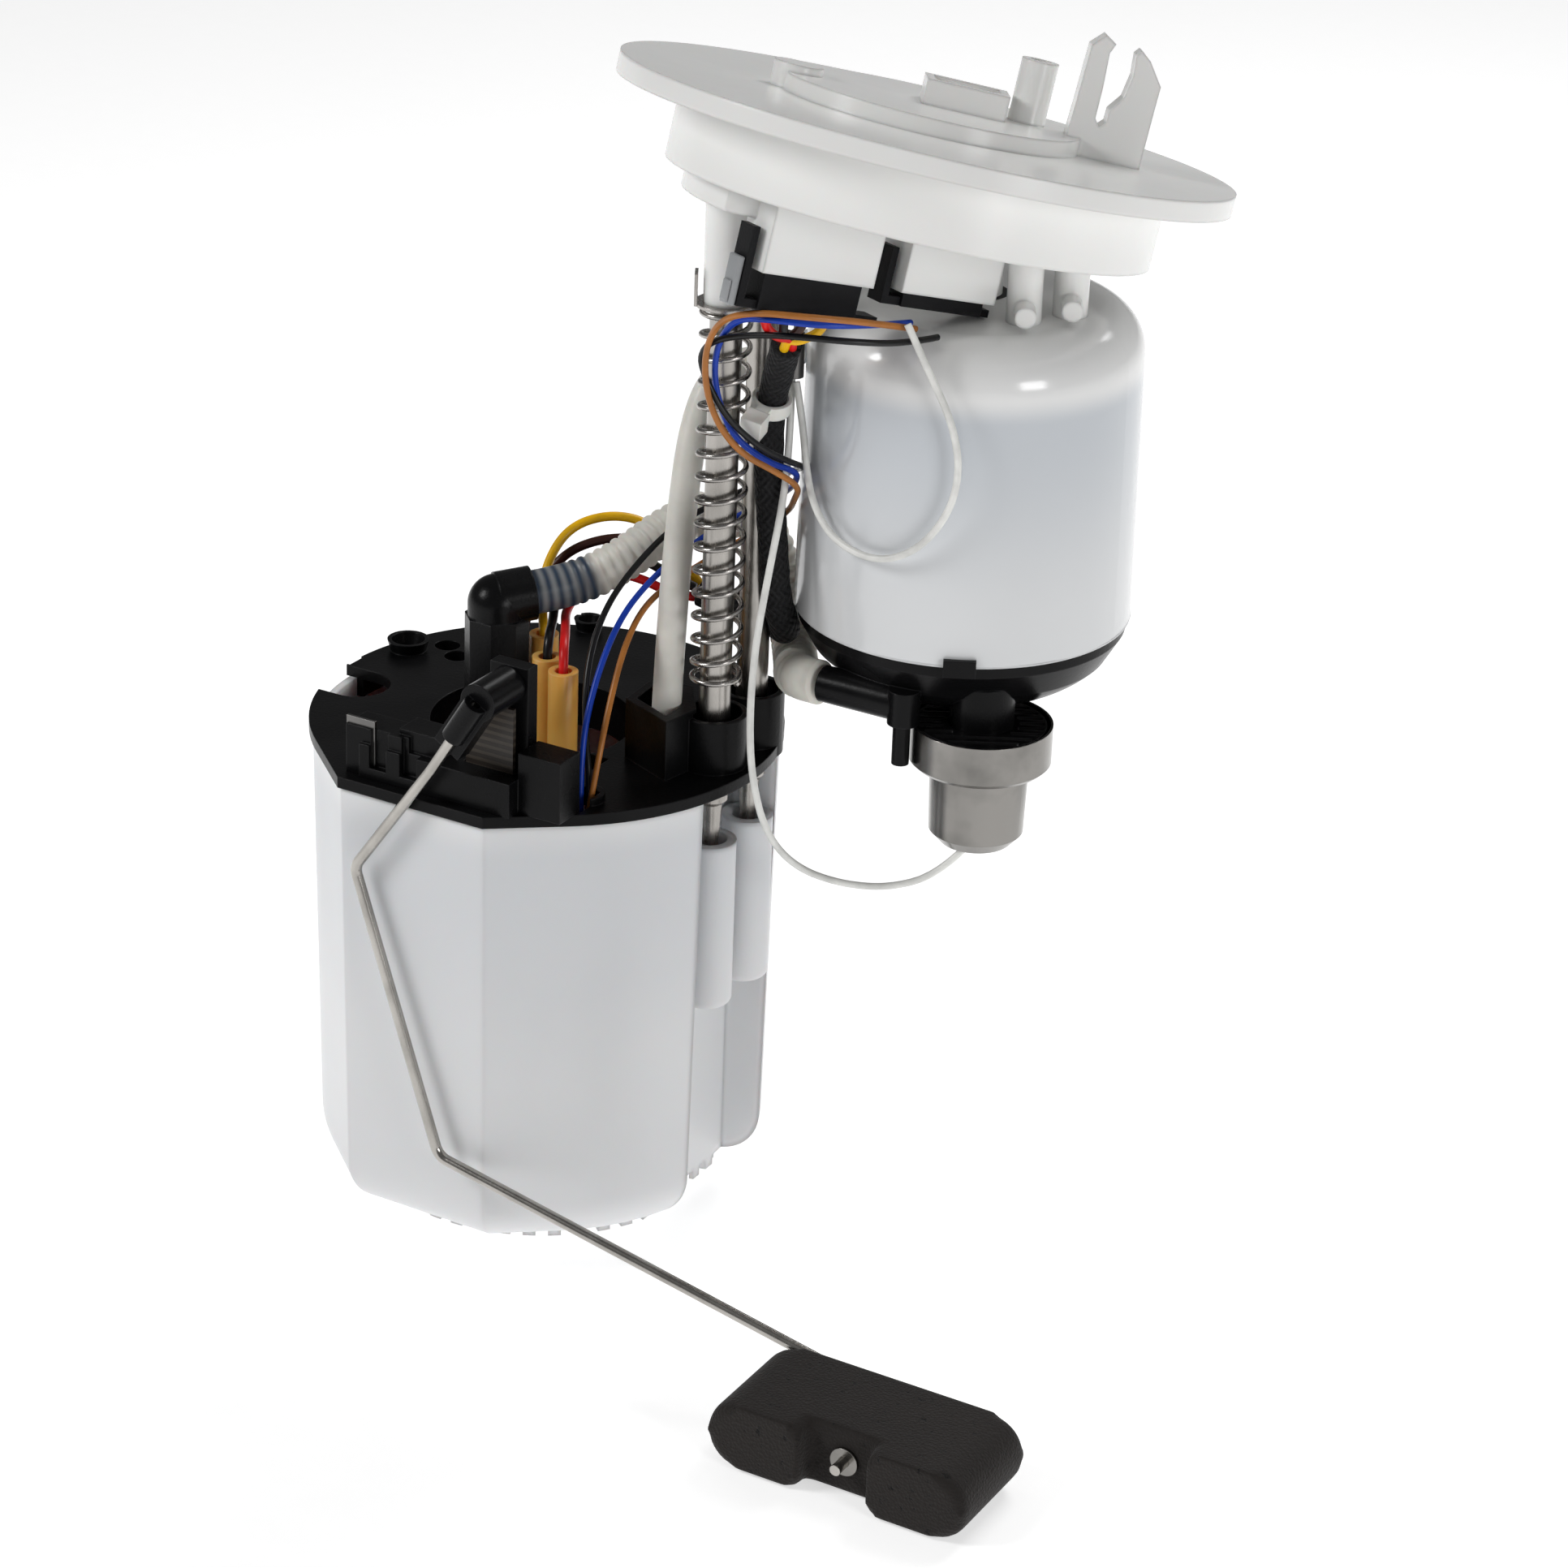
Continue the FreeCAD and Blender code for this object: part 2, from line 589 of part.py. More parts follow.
def regulator():
    """The pressed steel can, and the black grooved insert that fills its rim."""
    rim, body, wall = "regulator_rim_diameter / 2", "regulator_diameter / 2", "regulator_wall"
    rim_z, foot = "-regulator_rim_height", "-regulator_height"
    outline = [(rim, "0"), (rim + " - " + wall, "0"), (rim + " - " + wall, rim_z + " + 1.8"),
               (rim + " - 1.8", rim_z + " + " + wall), (body + " + 1.2", rim_z + " + " + wall),
               (body + " - " + wall, rim_z + " - 1"), (body + " - 0.5 - " + wall, foot + " + 3.4"),
               (body + " - 3.5 - " + wall, foot + " + " + wall),
               ("0", foot + " + " + wall), ("0", foot), (body + " - 3.2", foot),
               (body + " - 0.5", foot + " + 3"), (body, rim_z + " - 1"),
               (body + " + 1.2", rim_z), (rim + " - 1.2", rim_z), (rim, rim_z + " + 1.2")]
    can = turned("regulator_can", outline, at=("regulator_x", "regulator_y", "regulator_top"))
    inside = rim + " - " + wall
    insert = turned("regulator_insert", [("0", rim_z + " + 2"), (inside, rim_z + " + 2"), (inside, "-1.5"),
                                         (inside + " - 1", "-0.4"), ("15.2", "-0.4"),
                                         ("15.2", "-2.8"), ("9.2", "-2.8"), ("9.2", "-0.4"), ("5", "-0.4"),
                                         ("5", "6"), ("0", "6")],
                    at=("regulator_x", "regulator_y", "regulator_top"))
    return [can, insert]


# The reservoir: a draughted tub with a flat front, a channel with two guides for the rods, and teeth below.
def pot_outline(scale):
    """The tub's outline, counter-clockwise from the flat's right end, with its round wall in four arcs."""
    radius = "pot_radius * (%s)" % scale
    turns = ("-52.2", "0", "90", "180")
    corners = [("pot_flat_left * (%s)" % scale, "-pot_flat * (%s)" % scale),
               ("pot_flat_right * (%s)" % scale, "-pot_flat * (%s)" % scale)]
    corners += [(radius + " * cos(%s)" % a, radius + " * sin(%s)" % a, radius, 1) for a in turns]
    return corners + [(radius + " * cos(228.9)", radius + " * sin(228.9)")]


def foot_rounded(name, body, height, radius):
    return rounded(name, body, radius, level_edges(height))


def reservoir_pot():
    depth = "pot_top - pot_foot"
    spot = ("pot_x", "pot_y", "pot_top")
    outside = padded("pot_outside", pot_outline("1"), depth, at=spot, taper="-pot_draft", down=True)
    inside = padded("pot_inside", pot_outline("1 - pot_wall / pot_radius"), depth + " - pot_floor",
                    at=spot, taper="-pot_draft", down=True)
    outside = foot_rounded("pot_outside_round", outside, "pot_foot", "pot_corner")
    inside = foot_rounded("pot_inside_round", inside, "pot_foot + pot_floor", "pot_corner - pot_wall")
    wide = "channel_high - channel_low"
    channel = box("rod_channel", "40", wide, depth + " + tooth_height + 2",
                  at=("pot_x + channel_face", "pot_y + channel_low", "pot_foot - tooth_height - 1"))
    keep = box("channel_wall", "40", wide + " + 2 * pot_wall", depth + " + 2",
               at=("pot_x + channel_face - pot_wall", "pot_y + channel_low - pot_wall", "pot_foot - 1"))
    hollow = cut("pot_hollow", inside, keep)
    teeth = turned("tooth_ring",
                   [("tooth_ring_radius - 4", "-tooth_height"), ("tooth_ring_radius", "-tooth_height"),
                    ("tooth_ring_radius", "2"), ("tooth_ring_radius - 4", "2")],
                   at=("pot_x", "pot_y", "pot_foot"))
    gaps = []
    for i in range(int(value("tooth_count")) // 2):
        angle = "%d * 360 / tooth_count" % i
        x, y = polar("-tooth_ring_radius - 2", "-tooth_width / 2", angle)
        gaps.append(box("tooth_gap_%d" % i, "2 * tooth_ring_radius + 4", "tooth_width", "tooth_height",
                        at=("pot_x + " + x, "pot_y + " + y, "pot_foot - tooth_height"),
                        turn=(angle, "0", "0")))
    toothed = cut("teeth", teeth, *gaps)
    shell = cut("pot_shell", fuse("pot_toothed", outside, toothed), hollow, channel)
    guides, bores = [], []
    for rod, y in (("front", "front_rod_y"), ("rear", "rear_rod_y")):
        round_guide = cylinder(rod + "_guide", "rod_diameter / 2 + guide_wall", "guide_top - guide_bottom",
                               at=("rod_x", y, "guide_bottom"))
        guides.append(rounded(rod + "_guide_round", round_guide, "guide_wall - 0.6",
                              level_edges("guide_bottom")))
        guides.append(box(rod + "_guide_web", "rod_x - pot_x - channel_face + 1", "2 * guide_web",
                          "guide_top - guide_bottom - guide_wall - 0.5",
                          at=("pot_x + channel_face - 1", y + " - guide_web", "guide_bottom + guide_wall")))
        bores.append(cylinder(rod + "_bore", "rod_diameter / 2 + 0.3", "guide_top - guide_bottom + 2",
                              at=("rod_x", y, "guide_bottom - 1")))
    return cut("reservoir_pot", fuse("pot_guided", shell, *guides), *bores)


# The cover: a plate on the rim with a deep opening over the pump, two rod cups and the pipe's collar.
COVER = {
    "hose_collar_height": 16,
    "notch_radius": 8.5,
    "notch_x": -135,
    "notch_y": -42,
}
write_sizes(COVER)


def reservoir_cover():
    top = "pot_top + cover_thickness"
    spot = ("pot_x", "pot_y", "pot_top")
    plate = padded("cover_plate", pot_outline("1 + cover_lip / pot_radius"), "cover_thickness", at=spot)
    skirt = padded("cover_skirt", pot_outline("1 - (pot_wall + 0.1) / pot_radius"), "5", at=spot, down=True)
    hollow = padded("cover_skirt_hollow", pot_outline("1 - (pot_wall + 2) / pot_radius"), "6", at=spot,
                    down=True)
    wall = cylinder("opening_wall", "opening_radius + 1.8", "opening_depth",
                    at=("pot_x + opening_x", "pot_y + opening_y", top + " - opening_depth"))
    cups = []
    holes = [cylinder("opening", "opening_radius", "opening_depth + 2",
                      at=("pot_x + opening_x", "pot_y + opening_y", top + " - opening_depth - 1"))]
    for name, y in (("front_cup", "front_rod_y"), ("rear_cup", "rear_rod_y")):
        cups.append(cylinder(name, "cup_diameter / 2", "cup_height + cover_thickness",
                             at=("rod_x", y, "pot_top")))
        holes.append(cylinder(name + "_bore", "cup_bore / 2", "cup_height",
                              at=("rod_x", y, "pot_top + cup_floor")))
        holes.append(cylinder(name + "_hole", "rod_diameter / 2 + rod_clearance", "30",
                              at=("rod_x", y, "pot_top - 10")))
    corners = [("-54", "-42"), ("-38", "-49"), ("-36", "-38"), ("-44", "-26"), ("-55", "-27")]
    collar = padded("hose_collar", corners, "hose_collar_height + 1", at=("0", "0", top + " - 1"))
    inner = [("-51.8", "-40.5"), ("-40.2", "-45.6"), ("-40.2", "-38"), ("-45.6", "-28.4"),
             ("-52.6", "-29.2")]
    holes.append(padded("hose_collar_hollow", inner, "hose_collar_height + 6",
                        at=("0", "0", "pot_top - 1")))
    funnels = []
    for i, (x, y, r) in enumerate((("-137.2", "-15.8", "5.5"), ("-105.4", "22.8", "4"))):
        funnels.append(cone("funnel_%d" % i, r + " - 1", r, "4", at=(x, y, top + " - 1")))
        holes.append(cone("funnel_hollow_%d" % i, r + " - 3.4", r + " - 1", "5.5",
                          at=(x, y, top + " - 2.4")))
    holes.append(box("left_notch", "24", "2 * notch_radius", "30",
                     at=("notch_x - 24", "notch_y - notch_radius", "pot_top - 10")))
    holes.append(cylinder("left_notch_round", "notch_radius", "30",
                          at=("notch_x", "notch_y", "pot_top - 10")))
    holes.append(cylinder("oval_a", "3.4", "6", at=("-130", "-8", "pot_top - 1")))
    holes.append(cylinder("oval_b", "3.4", "6", at=("-124", "-12.5", "pot_top - 1")))
    holes.append(box("sleeve_slot", "15", "24", "30", at=("-71.5", "-69.5", "pot_top - 10")))
    holes.append(box("wire_slot", "5", "9", "30", at=("-50.5", "-76", "pot_top - 10"),
                     turn=("0", "0", "0")))
    for i in range(3):
        x, y = polar("pot_radius + 0.2", "-3", "%d" % (55 + 62 * i))
        holes.append(box("edge_notch_%d" % i, "4", "6", "30",
                         at=("pot_x + " + x, "pot_y + " + y, "pot_top - 10"),
                         turn=("%d" % (55 + 62 * i), "0", "0")))
    hook_outside = cylinder("hook_outside", "4.6", "3", at=("-48.6", "-68.6", top + " - 1"))
    holes.append(cylinder("hook_inside", "2.8", "20", at=("-48.6", "-68.6", "pot_top - 9")))
    channel = box("channel_pass", "30", "channel_high - channel_low + 6", "20",
                  at=("pot_x + channel_face - pot_wall - 0.2", "pot_y + channel_low - pot_wall - 0.2",
                      "pot_top - 20"))
    base = cut("cover_base", fuse("cover_plain", plate, cut("cover_ring", skirt, hollow), wall), channel)
    body = fuse("cover_body", base, collar, hook_outside, *(cups + funnels))
    return cut("reservoir_cover", body, *holes)


# The pump unit hangs in the reservoir below the cover's opening.
PUMP = {
    "pump_x": -78,
    "pump_y": -44,
    "pump_radius": 19,
    "pump_top": -198,
    "pump_bottom": -258,
    "case_wall": 1.2,
    "end_cap_height": 12,
    "foot_cap_height": 9,
    "strainer_radius": 30,
    "strainer_height": 8,
    "shaft_radius": 1.5,
    "armature_radius": 13,
    "impeller_radius": 15,
    "column_x": -89.3,
    "column_y": -46.8,
    "column_radius": 8.2,
    "column_bottom": -165,
    "column_top": -127,
    "elbow_height": -123,
    "elbow_yaw": 47,
    "elbow_pitch": 84,
    "elbow_radius": 6.9,
    "elbow_length": 9,
    "sleeve_diameter": 7.5,
    "sleeve_bore": 4.4,
    "sleeve_top": -134.5,
    "sleeve_bottom": -172,
    "sleeve_a_x": -65.6,
    "sleeve_a_y": -53,
    "sleeve_b_x": -73.8,
    "sleeve_b_y": -47.6,
    "sleeve_c_x": -82.4,
    "sleeve_c_y": -35.6,
}
write_sizes(PUMP)
SLEEVES = ("a", "b", "c")


def pump_unit():
    """Steel case, its two end caps, the armature and impeller that turn inside it, and the strainer."""
    spot = ("pump_x", "pump_y", "0")
    inside = "pump_radius - case_wall"
    case = turned("pump_case",
                  [(inside, "pump_bottom"), ("pump_radius", "pump_bottom"), ("pump_radius", "pump_top"),
                   (inside, "pump_top")], at=spot)
    cap = turned("top_cap_core", [("shaft_radius + 0.05", "pump_top - 6"), (inside, "pump_top - 6"),
                                  (inside, "pump_top"), ("pump_radius", "pump_top"),
                                  ("pump_radius", "pump_top + 8"),
                                  ("pump_radius - 3", "pump_top + end_cap_height"),
                                  ("0", "pump_top + end_cap_height"), ("0", "pump_top - 1"),
                                  ("shaft_radius + 0.05", "pump_top - 1")], at=spot)
    posts = [cylinder("terminal_" + s, "1.3", "sleeve_bottom - pump_top - end_cap_height + 13",
                      at=("sleeve_%s_x" % s, "sleeve_%s_y" % s,
                          "pump_top + end_cap_height - 1")) for s in SLEEVES]
    collars = [cylinder("terminal_collar_" + s, "3", "sleeve_bottom - pump_top - end_cap_height + 1",
                        at=("sleeve_%s_x" % s, "sleeve_%s_y" % s,
                            "pump_top + end_cap_height - 1")) for s in SLEEVES]
    nozzle = cylinder("pump_nozzle", "4", "22",
                      at=("column_x", "column_y", "pump_top + end_cap_height - 1"))
    top_cap = fuse("pump_top_cap", cap, nozzle, *(posts + collars))
    foot_cap = turned("pump_foot_cap", [("shaft_radius + 0.05", "pump_bottom - foot_cap_height + 2"),
                                        ("shaft_radius + 0.05", "pump_bottom + 3"),
                                        (inside, "pump_bottom + 3"),
                                        (inside, "pump_bottom"), ("pump_radius", "pump_bottom"),
                                        ("pump_radius", "pump_bottom - foot_cap_height"),
                                        ("0", "pump_bottom - foot_cap_height"),
                                        ("0", "pump_bottom - foot_cap_height + 2")], at=spot)
    shaft_top, shaft_low = "pump_top - 2", "pump_bottom - foot_cap_height + 3"
    armature = turned("pump_rotor_core",
                      [("0", shaft_low), ("shaft_radius", shaft_low), ("shaft_radius", "pump_bottom + 18"),
                       ("armature_radius", "pump_bottom + 18"),
                                          ("armature_radius", "pump_top - 14"), ("6", "pump_top - 14"),
                       ("6", "pump_top - 8"), ("shaft_radius", "pump_top - 8"),
                                          ("shaft_radius", shaft_top), ("0", shaft_top)], at=spot)
    slots = []
    for i in range(6):
        x, y = polar("armature_radius - 3", "-0.8", "%d" % (60 * i))
        slots.append(box("armature_slot_%d" % i, "4", "1.6", "pump_top - pump_bottom",
                         at=("pump_x + " + x, "pump_y + " + y, "pump_bottom"),
                         turn=("%d" % (60 * i), "0", "0")))
    armature = cut("pump_armature", armature, *slots)
    disc = cylinder("impeller_disc", "impeller_radius", "5", at=("pump_x", "pump_y", "pump_bottom + 6"))
    pockets = []
    for i in range(12):
        x, y = polar("impeller_radius - 3.5", "-1", "%d" % (30 * i))
        pockets.append(box("impeller_pocket_%d" % i, "5", "2", "7",
                           at=("pump_x + " + x, "pump_y + " + y, "pump_bottom + 5"),
                           turn=("%d" % (30 * i), "0", "0")))
    pockets.append(cylinder("impeller_bore", "shaft_radius", "9",
                            at=("pump_x", "pump_y", "pump_bottom + 4")))
    impeller = cut("pump_impeller", disc, *pockets)
    base = "pump_bottom - foot_cap_height"
    strainer = turned("suction_strainer",
                      [("0", base), ("9", base), ("11", base + " - 2"),
                       ("strainer_radius - 3", base + " - 2"),
                                           ("strainer_radius", base + " - 4"),
                       ("strainer_radius", base + " - strainer_height"),
                       ("0", base + " - strainer_height")], at=spot)
    return [case, top_cap, foot_cap, armature, impeller, strainer]


def pump_holder():
    """A sleeve round the pump, hung by three legs from the wall of the cover's opening."""
    spot = ("pump_x", "pump_y", "0")
    grip = turned("holder_grip",
                  [("pump_radius", "pump_bottom + 8"), ("pump_radius + 2.4", "pump_bottom + 8"),
                   ("pump_radius + 2.4", "pump_top - 6"), ("pump_radius", "pump_top - 6")], at=spot)
    legs = []
    for i, angle in enumerate(("40", "130", "220")):
        x, y = polar("opening_radius + 1.8", "-4", angle)
        legs.append(box("holder_leg_%d" % i, "1.8", "8", "pot_top - pump_top + 9",
                        at=("pot_x + opening_x + " + x, "pot_y + opening_y + " + y, "pump_top - 9"),
                        turn=(angle, "0", "0")))
    shelf = cylinder("holder_shelf", "opening_radius + 4.2", "3",
                     at=("pot_x + opening_x", "pot_y + opening_y", "pump_top - 9"))
    through = cylinder("holder_through", "pump_radius", "30", at=("pump_x", "pump_y", "pump_top - 20"))
    return cut("pump_holder", fuse("holder_body", grip, shelf, *legs), through)


def outlet_valve():
    """The eight-sided valve body over the pump's nozzle, with an elbow for the corrugated hose."""
    column = bind(doc.addObject("Part::Prism", "valve_column"), Circumradius="column_radius",
                  Height="column_top - column_bottom")
    column.Polygon = 8
    place(column, at=("column_x", "column_y", "column_bottom"), turn=("22.5", "0", "0"))
    step = bind(doc.addObject("Part::Prism", "valve_step"), Circumradius="column_radius + 0.8", Height="11")
    step.Polygon = 8
    place(step, at=("column_x", "column_y", "column_bottom"), turn=("22.5", "0", "0"))
    foot = cylinder("valve_foot", "6", "column_bottom - pump_top - end_cap_height + 1",
                    at=("column_x", "column_y", "pump_top + end_cap_height"))
    knee = ball("elbow_knee", "elbow_radius + 0.5", at=("column_x", "column_y", "elbow_height - 1"))
    neck = cylinder("elbow_neck", "elbow_radius + 0.5", "6",
                    at=("column_x", "column_y", "elbow_height - 7"))
    arm = cylinder("elbow_arm", "elbow_radius", "elbow_length",
                   at=("column_x", "column_y", "elbow_height"), turn=("elbow_yaw", "elbow_pitch", "0"))
    x, y = polar("0", "-4", "view_angle")
    block = box("valve_block", "17", "6.4", "8",
                at=("column_x + " + x, "column_y + " + y, "column_bottom + 12"),
                turn=("view_angle", "0", "0"))
    bore = cylinder("valve_bore", "4", "column_bottom - pump_top + 6",
                    at=("column_x", "column_y", "pump_top + end_cap_height - 1"))
    return cut("outlet_valve", fuse("valve_body", column, step, foot, knee, neck, arm, block), bore)


def connector_sleeves():
    made = []
    for s in SLEEVES:
        outline = [("sleeve_bore / 2", "sleeve_bottom"), ("sleeve_diameter / 2", "sleeve_bottom"),
                   ("sleeve_diameter / 2", "sleeve_top"), ("sleeve_bore / 2", "sleeve_top")]
        made.append(turned("connector_sleeve_" + s, outline,
                           at=("sleeve_%s_x" % s, "sleeve_%s_y" % s, "0")))
    return made


def jet_pump():
    """The small suction jet and foot valve that fill the reservoir through its floor."""
    body = box("jet_body", "24", "9", "9", at=("-122", "-20", "pot_foot + pot_floor"))
    throat = cylinder("jet_throat", "4", "26", at=("-123", "-15.5", "pot_foot + pot_floor + 12.6"),
                      turn=("0", "90", "0"))
    stand = box("jet_stand", "8", "6", "8", at=("-114", "-18.5", "pot_foot + pot_floor + 6"))
    bore = cylinder("jet_bore", "1.6", "40", at=("-129", "-15.5", "pot_foot + pot_floor + 12.6"),
                    turn=("0", "90", "0"))
    jet = cut("jet_pump", fuse("jet_mass", body, throat, stand), bore)
    valve = turned("foot_valve", [("0", "0"), ("7", "0"), ("7", "1.2"), ("2", "2"), ("2", "5"),
                                  ("0", "5")], at=("-100", "-2", "pot_foot + pot_floor"))
    return [jet, valve]


# The level sender on the cover's front edge, with the float arm on its pivot.
SENDER_SIZES = {
    "pivot_x": -64,
    "pivot_z": -128,
    "pivot_back": -80,
    "pivot_pin": 2,
    "arm_plane": -94.6,
    "arm_wire": 2.8,
    "holder_angle": 32,
}
write_sizes(SENDER_SIZES)


def sender():
    base = "pot_top + cover_thickness"
    pieces = [box("sender_base", "44", "11", "9", at=("-102", "-89", base)),
              box("sender_left", "18", "9", "13", at=("-106.5", "-88", base)),
              box("sender_middle", "12", "8", "14.5", at=("-92", "-86", base)),
              box("sender_right", "12", "9", "16", at=("-58", "-85", base)),
              box("sender_link", "16", "6", "7", at=("-66", "-83", base)),
              box("sender_tower", "11", "4", "pivot_z - pot_top - cover_thickness + 5",
                  at=("pivot_x - 5.5", "pivot_back", base)),
              cylinder("sender_pin", "pivot_pin", "pivot_back - arm_plane - 1.4",
                       at=("pivot_x", "pivot_back + 1", "pivot_z"), turn=("0", "0", "90"))]
    cuts = [box("sender_slot_%d" % i, "5", "4", "12",
                at=("-99 + %d" % (9 * i), "-91", base + " + 3")) for i in range(2)]
    cuts.append(box("card_slot", "15", "1.2", "20", at=("-75", "-83.2", base + " + 4")))
    cuts.append(box("plate_slot", "8.4", "0.8", "12", at=("-106.7", "-87.4", base + " + 2")))
    housing_body = cut("sender_housing", fuse("sender_mass", *pieces), *cuts)
    card = box("sender_card", "13.6", "1.2", "22", at=("-74.3", "-83.2", base + " + 4"))
    plate = box("sender_plate_blank", "8.4", "0.8", "13", at=("-106.7", "-87.4", base + " + 2"))
    hole = cylinder("sender_plate_hole", "1.2", "6", at=("-102.5", "-84", base + " + 11.6"),
                    turn=("0", "0", "90"))
    return [housing_body, card, cut("sender_plate", plate, hole)]


def arm_holder():
    """The moulded lever that turns on the sender's pin and grips the end of the float wire."""
    hub = cylinder("holder_hub", "4.8", "pivot_back - 0.4 - arm_plane - 0.6",
                   at=("pivot_x", "pivot_back - 0.4", "pivot_z"), turn=("0", "0", "90"))
    lever = box("holder_lever", "17", "5", "8",
                at=("pivot_x - 17 * sin(holder_angle) + 4 * cos(holder_angle)", "arm_plane + 0.6",
                    "pivot_z - 17 * cos(holder_angle) - 4 * sin(holder_angle)"),
                turn=("0", "holder_angle - 90", "0"))
    boot = cylinder("holder_boot", "3", "12", at=("pivot_x", "arm_plane", "pivot_z"),
                    turn=("0", "holder_angle + 180", "0"))
    bore = cylinder("holder_bore", "pivot_pin + 0.05", "17.5", at=("pivot_x", "pivot_back + 5", "pivot_z"),
                    turn=("0", "0", "90"))
    groove = cylinder("holder_groove", "arm_wire / 2", "30", at=("pivot_x", "arm_plane", "pivot_z"),
                      turn=("0", "holder_angle + 180", "0"))
    return cut("arm_holder", fuse("holder_mass", hub, lever, boot), bore, groove)


# The float: a foam block with two lobes in front, a washer and the wire's end in the recess between them.
FLOAT = {
    "float_x": 60.4,
    "float_z": -281.6,
    "float_back": -97.6,
    "float_depth": 26,
    "float_lobe": 6,
    "float_length": 69.6,
    "float_height": 17.8,
    "float_end": 8.4,
    "float_lobe_end": 3,
    "washer_diameter": 7.3,
    "washer_thickness": 0.8,
    "wire_stub": 5,
}
write_sizes(FLOAT)


def float_slice(name, left, right, left_end, right_end, depth, y):
    """One block whose two ends are rounded by quarter arcs, each end with its own radius."""
    h = "float_height / 2"
    outline = [(left + " + " + left_end, "-" + h), (right + " - " + right_end, "-" + h, right_end, 1),
               (right, "-" + h + " + " + right_end), (right, h + " - " + right_end, right_end, 1),
               (right + " - " + right_end, h), (left + " + " + left_end, h, left_end, 1),
               (left, h + " - " + left_end), (left, "-" + h + " + " + left_end, left_end, 1)]
    return padded(name, outline, depth, plane="XZ_Plane", at=("float_x", y, "float_z"))


def float_block():
    half = "float_length / 2"
    front = "float_back - float_depth + 2"
    pieces = [float_slice("float_body", "-" + half, half, "float_end", "float_end", "float_depth",
                          "float_back"),
              float_slice("float_lobe_left", "-" + half, "-9.5", "float_end", "float_lobe_end",
                          "float_lobe + 2", front),
              float_slice("float_lobe_right", "8.5", half, "float_lobe_end", "float_end",
                          "float_lobe + 2", front)]
    bore = cylinder("float_bore", "arm_wire / 2", "60", at=("float_x", "float_back + 5", "float_z"),
                    turn=("0", "0", "90"))
    return cut("float", fuse("float_mass", *pieces), bore)


def float_washer():
    outline = [("arm_wire / 2", "0"), ("washer_diameter / 2", "0"),
               ("washer_diameter / 2", "washer_thickness"), ("arm_wire / 2", "washer_thickness")]
    return turned("float_washer", outline, at=("float_x", "float_back - float_depth", "float_z"),
                  turn=("0", "0", "90"))


def route(name, points, diameter, bore=0.0, sides=0):
    """Sweep a round section along straight runs joined by tangent arcs, and print the arcs' radii."""
    points = [FreeCAD.Vector(*[value(c) if isinstance(c, str) else c for c in p]) for p in points]
    edges = []
    radii = []
    start = points[0]
    for i in range(1, len(points) - 1):
        before, after = points[i] - points[i - 1], points[i + 1] - points[i]
        turn = before.getAngle(after)
        shorter = min(before.Length, after.Length)
        cut_back = 0.45 * shorter
        radii.append(cut_back / math.tan(turn / 2))
        enter = points[i] - before.normalize() * cut_back
        leave = points[i] + after.normalize() * cut_back
        middle = (before * -1 + after).normalize()
        middle = points[i] + middle * (radii[-1] / math.cos(turn / 2) - radii[-1])
        edges.append(Part.makeLine(start, enter))
        edges.append(Part.Arc(enter, middle, leave).toShape())
        start = leave
    edges.append(Part.makeLine(start, points[-1]))
    path = Part.Wire(edges)
    along = (points[1] - points[0]).normalize()
    made = []
    for d in (diameter, bore):
        if d:
            circle = Part.makeCircle(d / 2.0, points[0], along)
            if sides:
                ring = [circle.Edges[0].Curve.value(2 * math.pi * k / sides) for k in range(sides)]
                circle = Part.makePolygon(ring + ring[:1])
            made.append(path.makePipeShell([Part.Wire(circle.Edges)], True, False))
    shape = made[0] if len(made) == 1 else made[0].cut(made[1])
    area = abs(Part.Face(Part.Wire(circle.Edges)).Area)
    if sides or not bore:
        print("%-18s radii %s volume/section*length %.3f" % (name, " ".join("%.1f" % r for r in radii),
              shape.Volume / (area * path.Length)))
    thing = doc.addObject("Part::Feature", name)
    thing.Shape = shape
    return thing


def float_wire():
    """The wire from the sender's lever to the float, bent in an upright plane and turned into the float."""
    y = "arm_plane"
    points = [("pivot_x - 1.5 * sin(holder_angle)", y, "pivot_z - 1.5 * cos(holder_angle)"),
              ("pivot_x - 24.5 * sin(holder_angle)", y, "pivot_z - 24.5 * cos(holder_angle)"),
              ("-99.5", y, "-180.7"), ("-74.4", y, "-255"),
              ("float_x", y, "float_z"), ("float_x", "float_back - float_depth - wire_stub", "float_z")]
    points = [FreeCAD.Vector(*[value(c) for c in p]) for p in points]
    edges = []
    start = points[0]
    for i in range(1, len(points) - 1):
        before, after = (points[i] - points[i - 1]).normalize(), (points[i + 1] - points[i]).normalize()
        turn = before.getAngle(after)
        radius = value("arm_wire") * (1.6 if i < len(points) - 2 else 0.9)
        back = radius * math.tan(turn / 2)
        middle = points[i] + (after - before).normalize() * (radius / math.cos(turn / 2) - radius)
        edges.append(Part.makeLine(start, points[i] - before * back))
        edges.append(Part.Arc(points[i] - before * back, middle, points[i] + after * back).toShape())
        start = points[i] + after * back
    edges.append(Part.makeLine(start, points[-1]))
    section = Part.Wire(Part.makeCircle(value("arm_wire") / 2, points[0], points[1] - points[0]))
    thing = doc.addObject("Part::Feature", "float_wire")
    thing.Shape = Part.Wire(edges).makePipeShell([section], True, False)
    return thing


